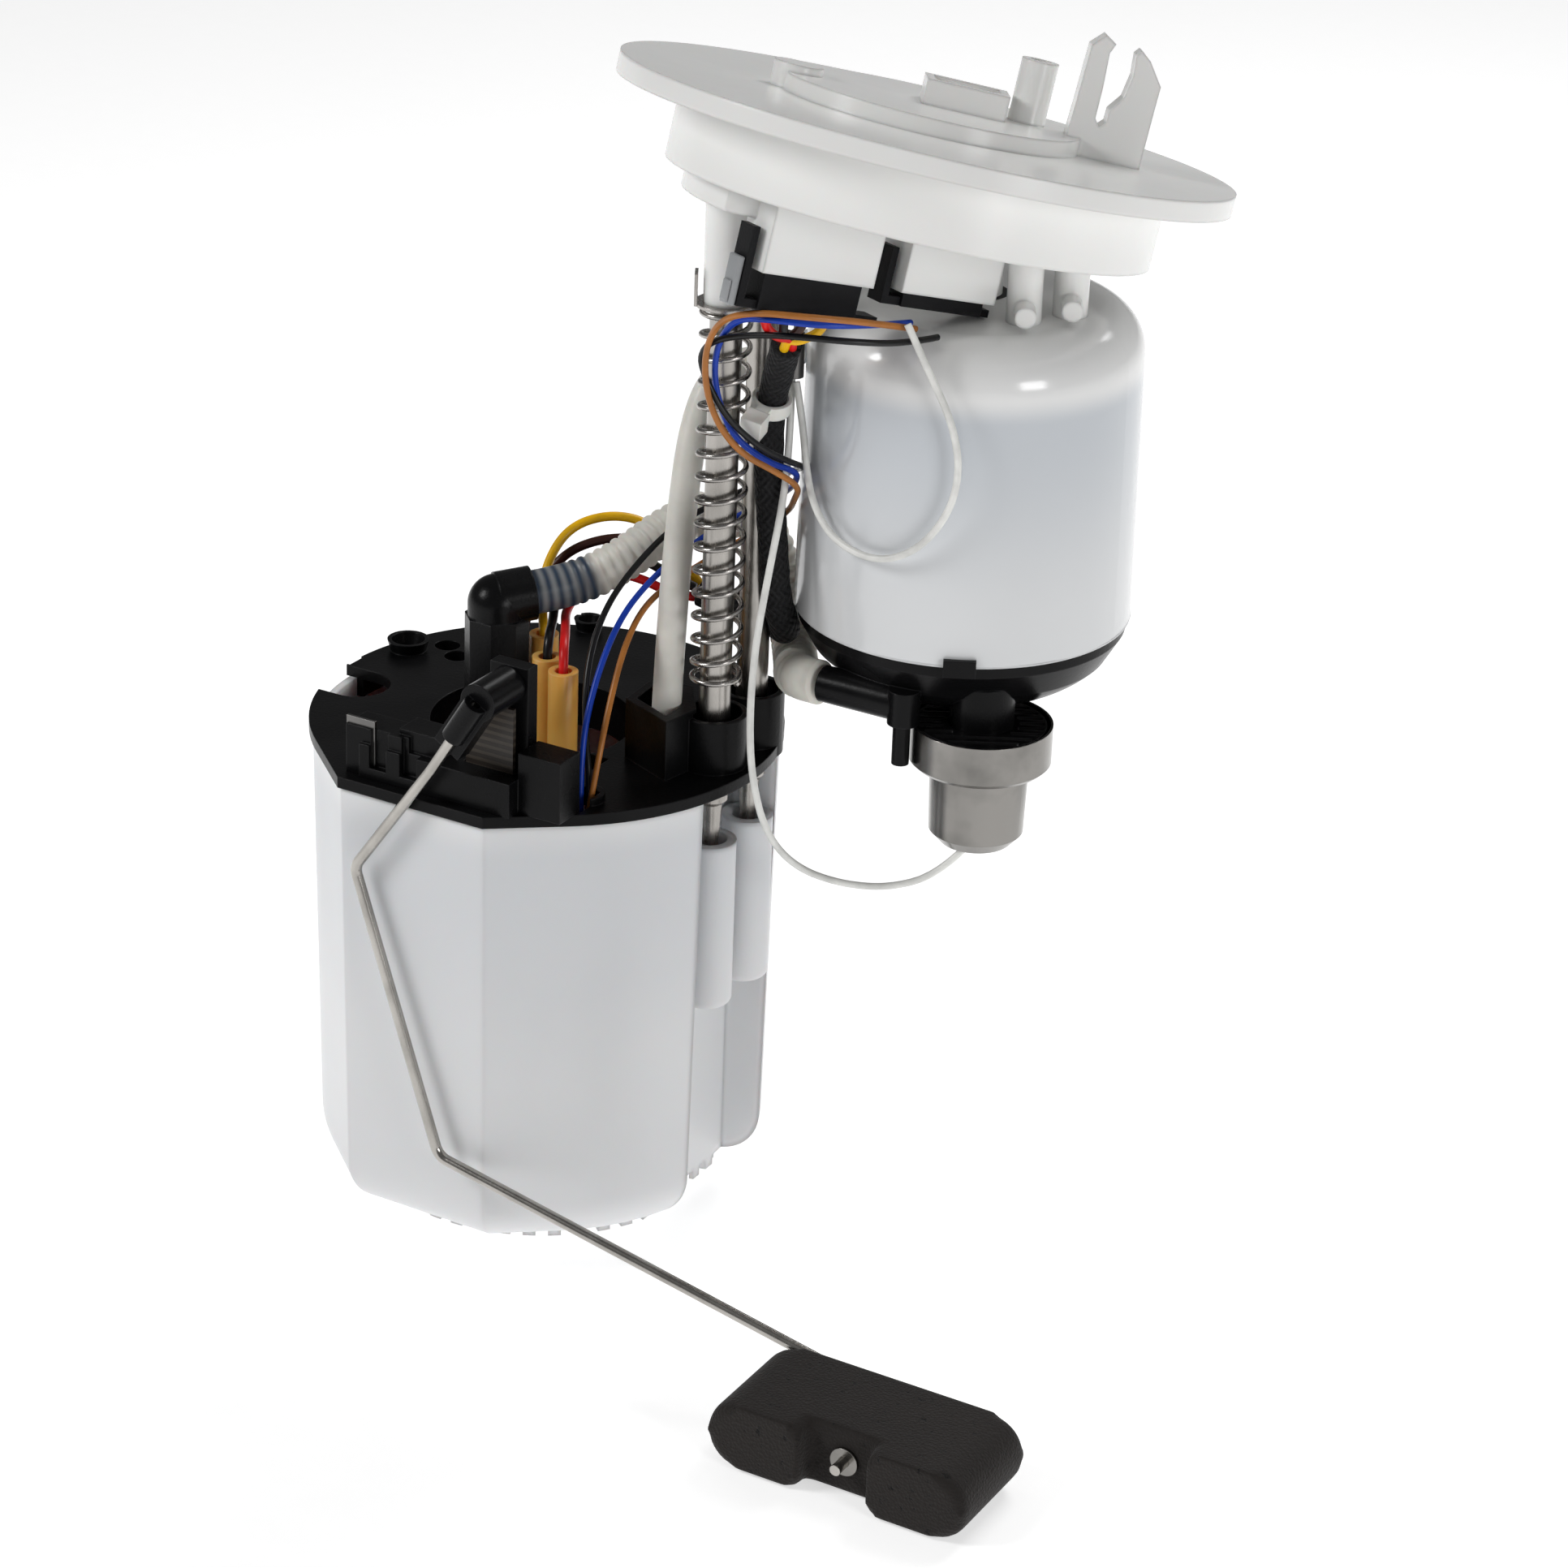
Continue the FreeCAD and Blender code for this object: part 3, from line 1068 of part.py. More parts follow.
# The cords, each a list of places chosen along its run in the photograph.
CORDS = {
    "hose_diameter": 11.5,
    "return_diameter": 7.6,
    "braid_diameter": 7.5,
    "harness_diameter": 2.4,
    "sender_diameter": 1.6,
    "ground_diameter": 1.8,
}
write_sizes(CORDS)
CORRUGATED = [("column_x + (elbow_length + 0.1) * sin(elbow_pitch) * cos(elbow_yaw)",
               "column_y + (elbow_length + 0.1) * sin(elbow_pitch) * sin(elbow_yaw)",
               "elbow_height + (elbow_length + 0.1) * cos(elbow_pitch)"), (-75.4, -31.9, -120.9),
              (-67.4, -21, -115.6), (-62.3, -8, -109.5), (-54.5, 2.5, -106.5),
              (-43.5, 6.5, -110), (-39.2, 7.6, -121.6), (-34.8, 6.2, -134), (-26, -5.6, -140.2),
              (-17.6, -21.3, -135.8), ("inlet_end - 1", "inlet_y", "inlet_height")]
RETURN = [(-44.6, -39, -160.5), (-44.3, -38.6, -146), (-45.4, -35.6, -130), (-48.6, -28.4, -112),
          (-51.6, -20.6, -96), (-53.6, -13.5, -81),
          (-52.6, -7.5, -69.5), (-47.6, -1.5, -64.9), (-40.4, 4.6, -64.6), (-39.6, 11.4, -64.5)]
BRAID = [(-15.5, -35.5, -44), (-21, -28.5, -53), (-25.5, -24.5, -64), (-26.6, -23, -78),
         (-26.4, -21.2, -92), (-26.2, -19.2, -105), (-26.2, -17.4, -117.5),
         (-26.3, -11, -129), (-31.8, -4.9, -130.2), (-42.5, -5.2, -129), (-54, -6.2, -126.5)]
HARNESS = {"yellow": [(-55, -5, -125.2), (-61, -4.6, -120), (-70.4, -4.8, -111.8), (-79, -10.5, -109.5),
                      (-87.2, -17.3, -112.8), (-88.8, -25.6, -121),
                      (-85, -32.6, -129), (-82.4, -35.6, -134.6), (-82.4, -35.6, -139)],
           "brown": [(-55.4, -5, -127.8), (-61.5, -3, -123.6), (-71, -6.6, -115.6), (-80, -13.2, -115.5),
                     (-88.2, -19, -120), (-92.6, -27, -131), (-92.8, -31, -147),
                     (-91, -33, -168)],
           "black": [(-55, -7.5, -125.2), (-61.6, -8.8, -122.8), (-70.5, -10.8, -119),
                     (-79.6, -16.6, -118.6), (-84.6, -26.4, -124.4), (-79, -36.8, -129.6),
                     (-75, -44.8, -129.8), (-73.8, -47.6, -134.4), (-73.8, -47.6, -139)],
           "red": [(-55.2, -7.5, -127.8), (-60.5, -10.6, -127), (-69, -13.2, -123.4), (-77.4, -18.6, -122),
                   (-79.4, -30.6, -128.6), (-72, -42, -128.6), (-67, -50.6, -129.4),
                   (-65.6, -53, -134.2), (-65.6, -53, -139)]}
SENDER = {"blue": [(-49.7, -69.4, -163), (-51.6, -67, -148), (-54, -57.6, -134.2), (-55, -45.7, -122.1),
                   (-54.8, -32.8, -115.9), (-52.6, -16, -110.8),
                   (-46, -3.2, -105), (-36.5, -2, -99), (-29.2, -7.6, -93), (-22.4, -16.4, -87),
                   (-17.5, -24, -80.5), (-20.4, -34.5, -75.5), (-26.6, -41, -68),
                   (-30.8, -42.6, -57), (-29.4, -45.3, -45), (-22.4, -48.6, -35.4), (-11, -51.4, -32.8),
                   (0, -47, -33.4), (8.4, -35.4, -34.8), (10.2, -22, -37.5)],
          "brown": [(-47.6, -69.4, -163), (-47, -66, -149), (-49.3, -57.7, -138.3), (-51.6, -47.7, -127),
                    (-53.4, -36, -120.4), (-53, -22, -118),
                    (-46.5, -6.6, -112.6), (-37.4, -2, -106), (-29.6, -5.6, -99), (-23.4, -14.8, -92),
                    (-16.4, -24.8, -84), (-17, -35.4, -77), (-24, -42.8, -71),
                    (-29.6, -46.8, -60.4), (-31, -48.2, -47), (-25, -52.2, -35.6), (-13.6, -56.4, -30),
                    (-1, -51.6, -30.2), (9, -38, -33.4), (13, -24.6, -37.8)],
          "black": [(-48.6, -67.7, -163), (-48.9, -66.7, -154), (-53, -62.6, -145), (-57.3, -55.8, -131),
                    (-59.6, -44.4, -119.7), (-58.4, -31, -111.4), (-55.4, -16, -104.5),
                    (-46.5, -2, -99), (-36.6, 0.4, -94), (-29.4, -5.6, -88.6), (-19.8, -16.8, -82),
                    (-17.6, -27.6, -77), (-21, -37.4, -71), (-27, -44.4, -62),
                    (-32.4, -46.2, -51), (-32.6, -46.6, -46.5), (-28, -48.1, -42), (-17, -48.6, -38.4),
                    (-5, -48.5, -36.6), (6, -42, -37.6), (13.4, -31, -39.6), (16.6, -20, -40.4)]}
GROUND = {"a": [(-22, -18.4, -60), (-19.2, -19.4, -70), (-16.6, -21.6, -80.5), (-12.2, -25, -88.4),
                (-4.1, -28.6, -94.2), (8.4, -30.8, -95.9), (18.7, -29.7, -91.3),
                (25.8, -27.6, -81), (28, -27, -69.6), (25.6, -27.8, -57.5), (19.6, -29.8, -45.5),
                (13.6, -30, -35)],
          "b": [(-24, -17.2, -60), (-22.2, -20.2, -72), (-20.6, -24.8, -87), (-20.6, -31, -104.6),
                (-20.4, -37, -122), (-19.4, -40.6, -140), (-17.8, -41.2, -156),
                (-15, -38.2, -171.4), (-9.2, -32.6, -181.6), (1.4, -26.5, -185.9), (12.5, -20.6, -186),
                (22, -14.8, -181.8), (27.6, -11, -174)]}


def cords():
    made = [route("corrugated_hose", CORRUGATED, value("hose_diameter"), sides=12),
            route("return_hose", RETURN, value("return_diameter"), sides=10),
            route("braided_sleeve", BRAID, value("braid_diameter"), sides=10)]
    made += [route("harness_" + colour, points, value("harness_diameter"), sides=6) for colour,
             points in HARNESS.items()]
    made += [route("sender_wire_" + colour, points, value("sender_diameter"), sides=6) for colour,
             points in SENDER.items()]
    made += [route("ground_wire_" + end, points, value("ground_diameter"), sides=6) for end,
             points in GROUND.items()]
    return made


def ground_terminal():
    """The two leads' crimp, on a stiff tail from the underside of the flange."""
    tail = cylinder("ground_tail", "1.2", seat_height("-23", "-16.5") + " + 50", at=("-23", "-16.5", "-50"))
    crimp = cylinder("ground_crimp", "2.2", "11", at=("-23", "-17.6", "-59"))
    return fuse("ground_terminal", tail, crimp)


def cable_tie():
    """A nylon strap round the braided sleeve, with its square head in front."""
    inside = "braid_diameter / 2 + 0.2"
    ring = turned("tie_ring", [(inside, "0"), (inside + " + 1", "0"), (inside + " + 1", "3.6"),
                               (inside, "3.6")])
    strap = box("tie_strap", "3.6", "6", "3.6", at=("-1.8", "-10", "0"))
    head = box("tie_head", "5.4", "5", "5.4", at=("-2.7", "-12.6", "-0.9"))
    return place(fuse("cable_tie", ring, strap, head), at=("-25.5", "-24.4", "-65.9"),
                 turn=("8", "11.3", "14.2"))


pieces = [flange(), plug("pump_plug", "pump_housing_length", "0", "pump_plug_drop", "9"),
          plug("sender_plug", "sender_housing_length", "pump_housing_length + row_gap", "sender_plug_drop",
               "5")]
pieces += rods() + [rod_clip(), rod_spring(), filter_housing(), outlet_seal(), filter_element(),
                    filter_cap()] + regulator()
pieces += [ground_terminal(), cable_tie(), reservoir_pot(), reservoir_cover(), pump_holder(),
           outlet_valve()] + pump_unit()
pieces += connector_sleeves() + jet_pump() + sender() + [arm_holder(), float_wire(), float_block(),
                                                         float_washer()] + cords()
doc.recompute()

for thing in doc.Objects:
    if "Invalid" in thing.State or "Error" in thing.State:
        raise RuntimeError("%s can't be built: %s" % (thing.Name, thing.State))
os.makedirs("parts", exist_ok=True)
for piece in pieces:
    shape = piece.Shape
    if shape.isNull() or not shape.isValid():
        raise RuntimeError("%s has no valid shape" % piece.Label)
    if len(shape.Solids) != 1:
        print("%s has %d solids" % (piece.Label, len(shape.Solids)))
    shape.exportStep("parts/%s.step" % piece.Label)
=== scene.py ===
import math
import bmesh
import bpy
from mathutils import Matrix, Vector


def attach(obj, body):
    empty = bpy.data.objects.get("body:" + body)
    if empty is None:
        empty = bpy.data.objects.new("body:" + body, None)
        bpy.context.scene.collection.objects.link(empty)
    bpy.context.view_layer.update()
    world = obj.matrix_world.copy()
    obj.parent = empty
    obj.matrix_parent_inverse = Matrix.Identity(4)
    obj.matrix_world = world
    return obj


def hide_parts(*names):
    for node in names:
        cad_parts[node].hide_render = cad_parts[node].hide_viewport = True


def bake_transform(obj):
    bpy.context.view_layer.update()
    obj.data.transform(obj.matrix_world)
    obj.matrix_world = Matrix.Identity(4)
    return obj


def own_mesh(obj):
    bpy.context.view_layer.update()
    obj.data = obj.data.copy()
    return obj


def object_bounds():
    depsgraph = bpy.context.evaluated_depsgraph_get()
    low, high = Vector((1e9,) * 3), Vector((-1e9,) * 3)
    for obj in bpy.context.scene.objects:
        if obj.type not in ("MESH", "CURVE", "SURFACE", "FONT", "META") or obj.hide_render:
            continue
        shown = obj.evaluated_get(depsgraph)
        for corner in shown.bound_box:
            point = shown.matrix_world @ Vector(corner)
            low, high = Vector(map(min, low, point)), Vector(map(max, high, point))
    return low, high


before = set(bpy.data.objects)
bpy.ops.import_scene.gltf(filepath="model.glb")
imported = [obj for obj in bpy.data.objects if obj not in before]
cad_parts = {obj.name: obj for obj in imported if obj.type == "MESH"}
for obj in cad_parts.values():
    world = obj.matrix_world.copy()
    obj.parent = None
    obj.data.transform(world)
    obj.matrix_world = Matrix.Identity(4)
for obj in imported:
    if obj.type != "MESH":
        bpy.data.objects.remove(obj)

cad_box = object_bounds()


# Camera: a long lens, in front of the module and above it, a third of the way round to its right.
# Its place comes from the rods, the rims and the flange's ellipse in the photograph. It leans two degrees.
def placed(name, data):
    """A new object in the scene that carries this data."""
    thing = bpy.data.objects.new(name, data)
    bpy.context.scene.collection.objects.link(thing)
    return thing


def aim_camera(place, azimuth, elevation, lean, lens):
    """Put the camera at a place, and turn it by its angles in degrees."""
    az, el, roll = (math.radians(a) for a in (azimuth, elevation, lean))
    back = Vector((math.sin(az) * math.cos(el), -math.cos(az) * math.cos(el), math.sin(el)))
    level = Vector((math.cos(az), math.sin(az), 0))
    right = level * math.cos(roll) + back.cross(level) * math.sin(roll)
    camera = placed("studio_camera", bpy.data.cameras.new("studio_camera"))
    turn = Matrix((right, back.cross(right), back)).transposed()
    camera.matrix_world = Matrix.Translation(place) @ turn.to_4x4()
    camera.data.lens = lens
    camera.data.clip_start = 0.05
    bpy.context.scene.camera = camera


aim_camera((0.4735, -0.9113, 0.3033), azimuth=28.99, elevation=24.74, lean=2.17, lens=102.38)


# Studio: a white sweep under the module and three broad soft lamps, brightest from the upper left.
# The sweep isn't part of the module.
def shader_node(tree, kind, settings=None, **sockets):
    """A shader node. A socket is named by its label, or as i0, i1 and so on by its number."""
    node = tree.nodes.new("ShaderNode" + kind)
    for key, value in (settings or {}).items():
        setattr(node, key, value)
    for key, value in sockets.items():
        socket = node.inputs[int(key[1:])] if key[1:].isdigit() else node.inputs[key.replace("_", " ")]
        if isinstance(value, bpy.types.NodeSocket):
            tree.links.new(value, socket)
        else:
            socket.default_value = value
    return node


def mapped(tree, value, over=(0.0, 1.0), to=(0.0, 1.0), smooth=False):
    """A value carried from one range over to another."""
    rule = {"interpolation_type": "SMOOTHSTEP" if smooth else "LINEAR"}
    node = shader_node(tree, "MapRange", rule, i0=value, i1=over[0], i2=over[1], i3=to[0], i4=to[1])
    return node.outputs[0]


def new_finish(name, **plain):
    """A material whose Principled shader has these plain values."""
    finish = bpy.data.materials.new(name)
    finish.use_nodes = True
    shader = finish.node_tree.nodes["Principled BSDF"]
    for key, value in plain.items():
        shader.inputs[key.replace("_", " ")].default_value = value
    return finish, finish.node_tree, shader


def mesh_piece(name, points, faces, smooth=True):
    mesh = bpy.data.meshes.new(name)
    mesh.from_pydata([tuple(p) for p in points], [], faces)
    mesh.validate()
    mesh.polygons.foreach_set("use_smooth", [smooth] * len(mesh.polygons))
    return placed(name, mesh)


def studio_sweep(low, reach):
    corners = [(-reach, -reach, low), (reach, -reach, low), (reach, reach, low), (-reach, reach, low)]
    thing = mesh_piece("studio_sweep", corners, [(0, 1, 2, 3)])
    finish, tree, shader = new_finish("sweep_paper", Specular_IOR_Level=0.1, Roughness=0.85)
    grain = shader_node(tree, "TexNoise", Scale=900.0, Detail=2.0)
    tree.links.new(mapped(tree, grain.outputs["Fac"], to=(0.76, 0.80)), shader.inputs["Base Color"])
    shader.inputs["Emission Color"].default_value = (1, 1, 1, 1)
    shader.inputs["Emission Strength"].default_value = 0.58
    thing.data.materials.append(finish)


def soft_lamp(name, place, side, power, target=(-0.02, -0.02, -0.12)):
    """A square lamp that faces the middle of the module."""
    lamp = placed(name, bpy.data.lights.new(name, "AREA"))
    lamp.data.size = side
    lamp.data.energy = power
    lamp.location = place
    lamp.rotation_euler = (Vector(target) - Vector(place)).to_track_quat("-Z", "Y").to_euler()


studio_sweep(low=cad_box[0][2] - 0.0005, reach=4)
soft_lamp("lamp_upper_left", (-0.85, -0.85, 0.70), side=0.42, power=8.5)
soft_lamp("lamp_right", (1.05, -0.45, 0.15), side=0.34, power=3.4)
soft_lamp("lamp_behind", (0.1, 0.9, 0.9), side=0.7, power=9)
world = bpy.data.worlds.new("studio_light")
world.use_nodes = True
world.node_tree.nodes["Background"].inputs["Color"].default_value = (1.0, 1.0, 1.0, 1)
world.node_tree.nodes["Background"].inputs["Strength"].default_value = 0.14
bpy.context.scene.world = world
bpy.context.scene.view_settings.view_transform = "Standard"


# Flange: one glossy white acetal moulding that closes the tank, with the connector housings under it,
# the pipe port, the hose clip and a socket on top. The skin is slightly grained, with softly rounded edges.
def new_group(name, inputs, outputs):
    """A shader node group with named inputs, each with its kind and value, and named outputs."""
    tree = bpy.data.node_groups.new(name, "ShaderNodeTree")
    for label, kind, value in inputs:
        socket = tree.interface.new_socket(label, in_out="INPUT", socket_type="NodeSocket" + kind)
        socket.default_value = value
    for label, kind in outputs:
        tree.interface.new_socket(label, in_out="OUTPUT", socket_type="NodeSocket" + kind)
    return tree, tree.nodes.new("NodeGroupInput").outputs, tree.nodes.new("NodeGroupOutput").inputs


def use_group(tree, group, **sockets):
    node = tree.nodes.new("ShaderNodeGroup")
    node.node_tree = group
    for key, value in sockets.items():
        if isinstance(value, bpy.types.NodeSocket):
            tree.links.new(value, node.inputs[key])
        else:
            node.inputs[key].default_value = value
    return node.outputs


def own_place(tree):
    return shader_node(tree, "TexCoord").outputs["Object"]


def maths(tree, operation, *terms, clamp=False):
    """The result of a Math node on these terms."""
    sockets = {"i%d" % k: term for k, term in enumerate(terms)}
    return shader_node(tree, "Math", {"operation": operation, "use_clamp": clamp}, **sockets).outputs[0]


def mixed(tree, share, one, other):
    """Two colours mixed, from all of the one to all of the other."""
    return shader_node(tree, "Mix", {"data_type": "RGBA"}, i0=share, i6=one, i7=other).outputs[2]


def bumped(tree, strength, distance, height, *normal):
    """The normal of a surface with this relief."""
    base = {"Normal": normal[0]} if normal else {}
    return shader_node(tree, "Bump", Strength=strength, Distance=distance, Height=height, **base).outputs[0]


def give_skin(tree, shader, colour, rough, normal):
    tree.links.new(colour, shader.inputs["Base Color"])
    tree.links.new(rough, shader.inputs["Roughness"])
    tree.links.new(normal, shader.inputs["Normal"])


SKIN_OUTPUTS = [("Colour", "Color"), ("Roughness", "Float"), ("Height", "Float")]


def moulded_skin_group():
    """Fine grain, cloudy tone and uneven gloss, as an injection mould leaves them."""
    inputs = [("Colour", "Color", (0.8, 0.8, 0.8, 1)), ("Shade", "Color", (0.7, 0.7, 0.7, 1)),
              ("Grain", "Float", 1500.0), ("Cloud", "Float", 45.0), ("Rough", "Float", 0.4),
              ("Spread", "Float", 0.1)]
    tree, given, out = new_group("moulded_skin", inputs, SKIN_OUTPUTS)
    place = own_place(tree)
    fine = shader_node(tree, "TexNoise", Vector=place, Scale=given["Grain"], Detail=3.0, Roughness=0.6)
    cloud = shader_node(tree, "TexNoise", Vector=place, Scale=given["Cloud"], Detail=3.0, Roughness=0.55)
    share = mapped(tree, cloud.outputs["Fac"], over=(0.42, 0.68))
    tone = mixed(tree, share, given["Colour"], given["Shade"])
    swing = maths(tree, "SUBTRACT", cloud.outputs["Fac"], 0.5)
    gloss = maths(tree, "MULTIPLY_ADD", swing, given["Spread"], given["Rough"])
    tree.links.new(tone, out["Colour"])
    tree.links.new(gloss, out["Roughness"])
    tree.links.new(fine.outputs["Fac"], out["Height"])
    return tree


def rubbed_edge_group():
    """A mask of the edges that handling polishes: where the rounded normal leaves the face's own."""
    tree, given, out = new_group("rubbed_edge", [("Radius", "Float", 0.0006), ("Gain", "Float", 6.0)],
                                 [("Mask", "Float"), ("Normal", "Vector")])
    round_normal = shader_node(tree, "Bevel", {"samples": 4}, Radius=given["Radius"])
    own = shader_node(tree, "NewGeometry")
    turn = shader_node(tree, "VectorMath", {"operation": "DOT_PRODUCT"}, i0=round_normal.outputs[0],
                       i1=own.outputs["Normal"])
    off = maths(tree, "SUBTRACT", 1.0, turn.outputs["Value"])
    mask = maths(tree, "MULTIPLY", off, given["Gain"], clamp=True)
    tree.links.new(mask, out["Mask"])
    tree.links.new(round_normal.outputs[0], out["Normal"])
    return tree


MOULDED_SKIN = moulded_skin_group()
RUBBED_EDGE = rubbed_edge_group()


def moulded(name, colour, shade, rough, worn=None, grain=1500.0, bump=0.12, edge=0.0005, cloud=45.0, **plain):
    """A moulded plastic or rubber: its colour, the tone of its cloudy patches and of its rubbed edges."""
    finish, tree, shader = new_finish(name, **plain)
    skin = use_group(tree, MOULDED_SKIN, Colour=colour + (1,), Shade=shade + (1,), Grain=grain, Cloud=cloud,
                     Rough=rough, Spread=0.12)
    rim = use_group(tree, RUBBED_EDGE, Radius=edge, Gain=3.0)
    tone = skin["Colour"]
    if worn:
        tone = mixed(tree, rim["Mask"], tone, worn + (1,))
    relief = bumped(tree, bump, 0.0002, skin["Height"], rim["Normal"])
    give_skin(tree, shader, tone, skin["Roughness"], relief)
    return finish


def dress(finish, *nodes):
    for name in nodes:
        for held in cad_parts[name].material_slots:
            held.material = finish


WHITE_ACETAL = moulded("white_acetal", (0.83, 0.83, 0.815), (0.815, 0.815, 0.80), 0.24, bump=0.05,
                       edge=0.0012, cloud=25.0, Coat_Weight=0.2, Coat_Roughness=0.2, Subsurface_Weight=0.08,
                       Subsurface_Scale=0.002)
dress(WHITE_ACETAL, "flange")


# Plugs: black glass-filled nylon, pushed up into the flange's two housings, each with its latch arm.
# The pump's plug carries a grey locking slide in front of its latch, and a latch pad rises from each arm.
def from_bmesh(name, shape, smooth=True):
    mesh = bpy.data.meshes.new(name)
    shape.to_mesh(mesh)
    shape.free()
    if smooth:
        mesh.polygons.foreach_set("use_smooth", [True] * len(mesh.polygons))
    return placed(name, mesh)


def rounded_block(name, low, high, rounding, place, segments=3):
    """A block with rounded edges, from its two corners in its own frame."""
    shape = bmesh.new()
    bmesh.ops.create_cube(shape, size=1.0)
    for v in shape.verts:
        v.co = Vector([low[i] + (v.co[i] + 0.5) * (high[i] - low[i]) for i in range(3)])
    bmesh.ops.bevel(shape, geom=shape.edges[:], offset=rounding, segments=segments, profile=0.5,
                    affect="EDGES", clamp_overlap=True)
    shape.transform(place)
    return from_bmesh(name, shape)


def dressed(thing, finish, body=None):
    """Give a new piece its finish, and let it ride on a body."""
    thing.data.materials.clear()
    thing.data.materials.append(finish)
    if body:
        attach(thing, body)
    return thing


FLANGE_TILT = Matrix.Rotation(math.radians(5), 4, "Y") @ Matrix.Rotation(math.radians(-14), 4, "X")
ROW = FLANGE_TILT @ Matrix.Translation((-0.00908, -0.04962, 0)) @ Matrix.Rotation(math.radians(59), 4, "Z")
PLUG_BLACK = moulded("plug_black", (0.007, 0.007, 0.008), (0.012, 0.012, 0.013), 0.42,
                     worn=(0.03, 0.03, 0.032), grain=2200.0, bump=0.3, Specular_IOR_Level=0.10)
LOCK_GREY = moulded("lock_grey", (0.30, 0.31, 0.32), (0.25, 0.26, 0.27), 0.45, worn=(0.5, 0.5, 0.5))
dress(PLUG_BLACK, "pump_plug", "sender_plug")


def plug_block(name, low, high, rounding, finish):
    """A block on the pump's plug, in the frame of the row of housings."""
    dressed(rounded_block(name, low, high, rounding, ROW), finish, "tank_head")


plug_block("pump_plug_lock", (-0.0048, 0.0036, -0.0432), (-0.0032, 0.0084, -0.0315), 0.0004, LOCK_GREY)
plug_block("pump_plug_pad", (-0.0054, 0.0044, -0.0425), (-0.0048, 0.0076, -0.0375), 0.0003, LOCK_GREY)
BOOT_HALF = 0.0021
for number, along in enumerate((0.0065, 0.0125, 0.0185, 0.0245)):
    plug_block("pump_plug_boot_%d" % number, (along - BOOT_HALF, 0.0030, -0.0444),
               (along + BOOT_HALF, 0.0088, -0.0428), 0.0006, PLUG_BLACK)


# Guide rods: bright drawn steel bar with a fine lengthwise grain, turned down to a taper at the foot.
# They are pressed into the flange's bosses and the reservoir slides on them.
def drawn_metal_group():
    """Fine scratches drawn out along one axis, with a little tone and gloss from each."""
    inputs = [("Colour", "Color", (0.6, 0.6, 0.6, 1)), ("Dull", "Color", (0.4, 0.4, 0.4, 1)),
              ("Stretch", "Vector", (2500.0, 2500.0, 40.0)), ("Rough", "Float", 0.2),
              ("Spread", "Float", 0.15)]
    tree, given, out = new_group("drawn_metal", inputs, SKIN_OUTPUTS)
    place = own_place(tree)
    drawn = shader_node(tree, "VectorMath", {"operation": "MULTIPLY"}, i0=place, i1=given["Stretch"])
    marks = shader_node(tree, "TexNoise", Vector=drawn.outputs[0], Scale=1.0, Detail=4.0, Roughness=0.65)
    stain = shader_node(tree, "TexNoise", Vector=place, Scale=70.0, Detail=4.0)
    share = mapped(tree, stain.outputs["Fac"], over=(0.45, 0.75))
    tone = mixed(tree, share, given["Colour"], given["Dull"])
    gloss = maths(tree, "MULTIPLY_ADD", marks.outputs["Fac"], given["Spread"], given["Rough"])
    tree.links.new(tone, out["Colour"])
    tree.links.new(gloss, out["Roughness"])
    tree.links.new(marks.outputs["Fac"], out["Height"])
    return tree


DRAWN_METAL = drawn_metal_group()


def metal(name, colour, dull, rough, stretch=(2500.0, 2500.0, 40.0), spread=0.12):
    """Bare metal: its colour, the tone of its dull patches, and how far its scratches are drawn out."""
    finish, tree, shader = new_finish(name, Metallic=1.0)
    marks = use_group(tree, DRAWN_METAL, Colour=colour + (1,), Dull=dull + (1,), Stretch=stretch, Rough=rough,
                      Spread=spread)
    rim = use_group(tree, RUBBED_EDGE, Radius=0.0003, Gain=3.0)
    relief = bumped(tree, 0.1, 0.0001, marks["Height"], rim["Normal"])
    give_skin(tree, shader, marks["Colour"], marks["Roughness"], relief)
    return finish


ROD_STEEL = metal("rod_steel", (0.42, 0.40, 0.375), (0.30, 0.285, 0.265), 0.22)
dress(ROD_STEEL, "guide_rod_front", "guide_rod_rear")


# Rod clip and spring: a stamped spring-steel washer with one ear, and a coil of round wire under it.
# The coil pushes the reservoir down the rods, and its end turns lie close.
def ring_faces(rows, around):
    """The faces of a tube of equal rings, with its two ends closed."""
    sides = [(i * around + k, i * around + (k + 1) % around, (i + 1) * around + (k + 1) % around,
              (i + 1) * around + k) for i in range(rows - 1) for k in range(around)]
    last = (rows - 1) * around
    return sides + [tuple(range(around))[::-1], tuple(last + k for k in range(around))]


def coil_piece(name, centre, top, bottom, mean, wire, turns, per_turn=28, around=10):
    """A round-wire compression spring whose first and last turns lie close."""
    count = int(turns * per_turn)
    free = top - bottom - 2 * wire
    end_lift = 2 * wire * 0.9
    points = []
    for i in range(count + 1):
        t = i / per_turn
        if t < 1:
            lift = t * end_lift
        elif t > turns - 1:
            lift = free - (turns - t) * end_lift
        else:
            lift = end_lift + (free - 2 * end_lift) * (t - 1) / (turns - 2)
        out = Vector((math.cos(2 * math.pi * t), math.sin(2 * math.pi * t), 0))
        spot = Vector(centre + (0,)) + out * mean + Vector((0, 0, bottom + wire + lift))
        for k in range(around):
            a = 2 * math.pi * k / around
            points.append(spot + out * wire * math.cos(a) + Vector((0, 0, wire * math.sin(a))))
    return mesh_piece(name, points, ring_faces(count + 1, around))


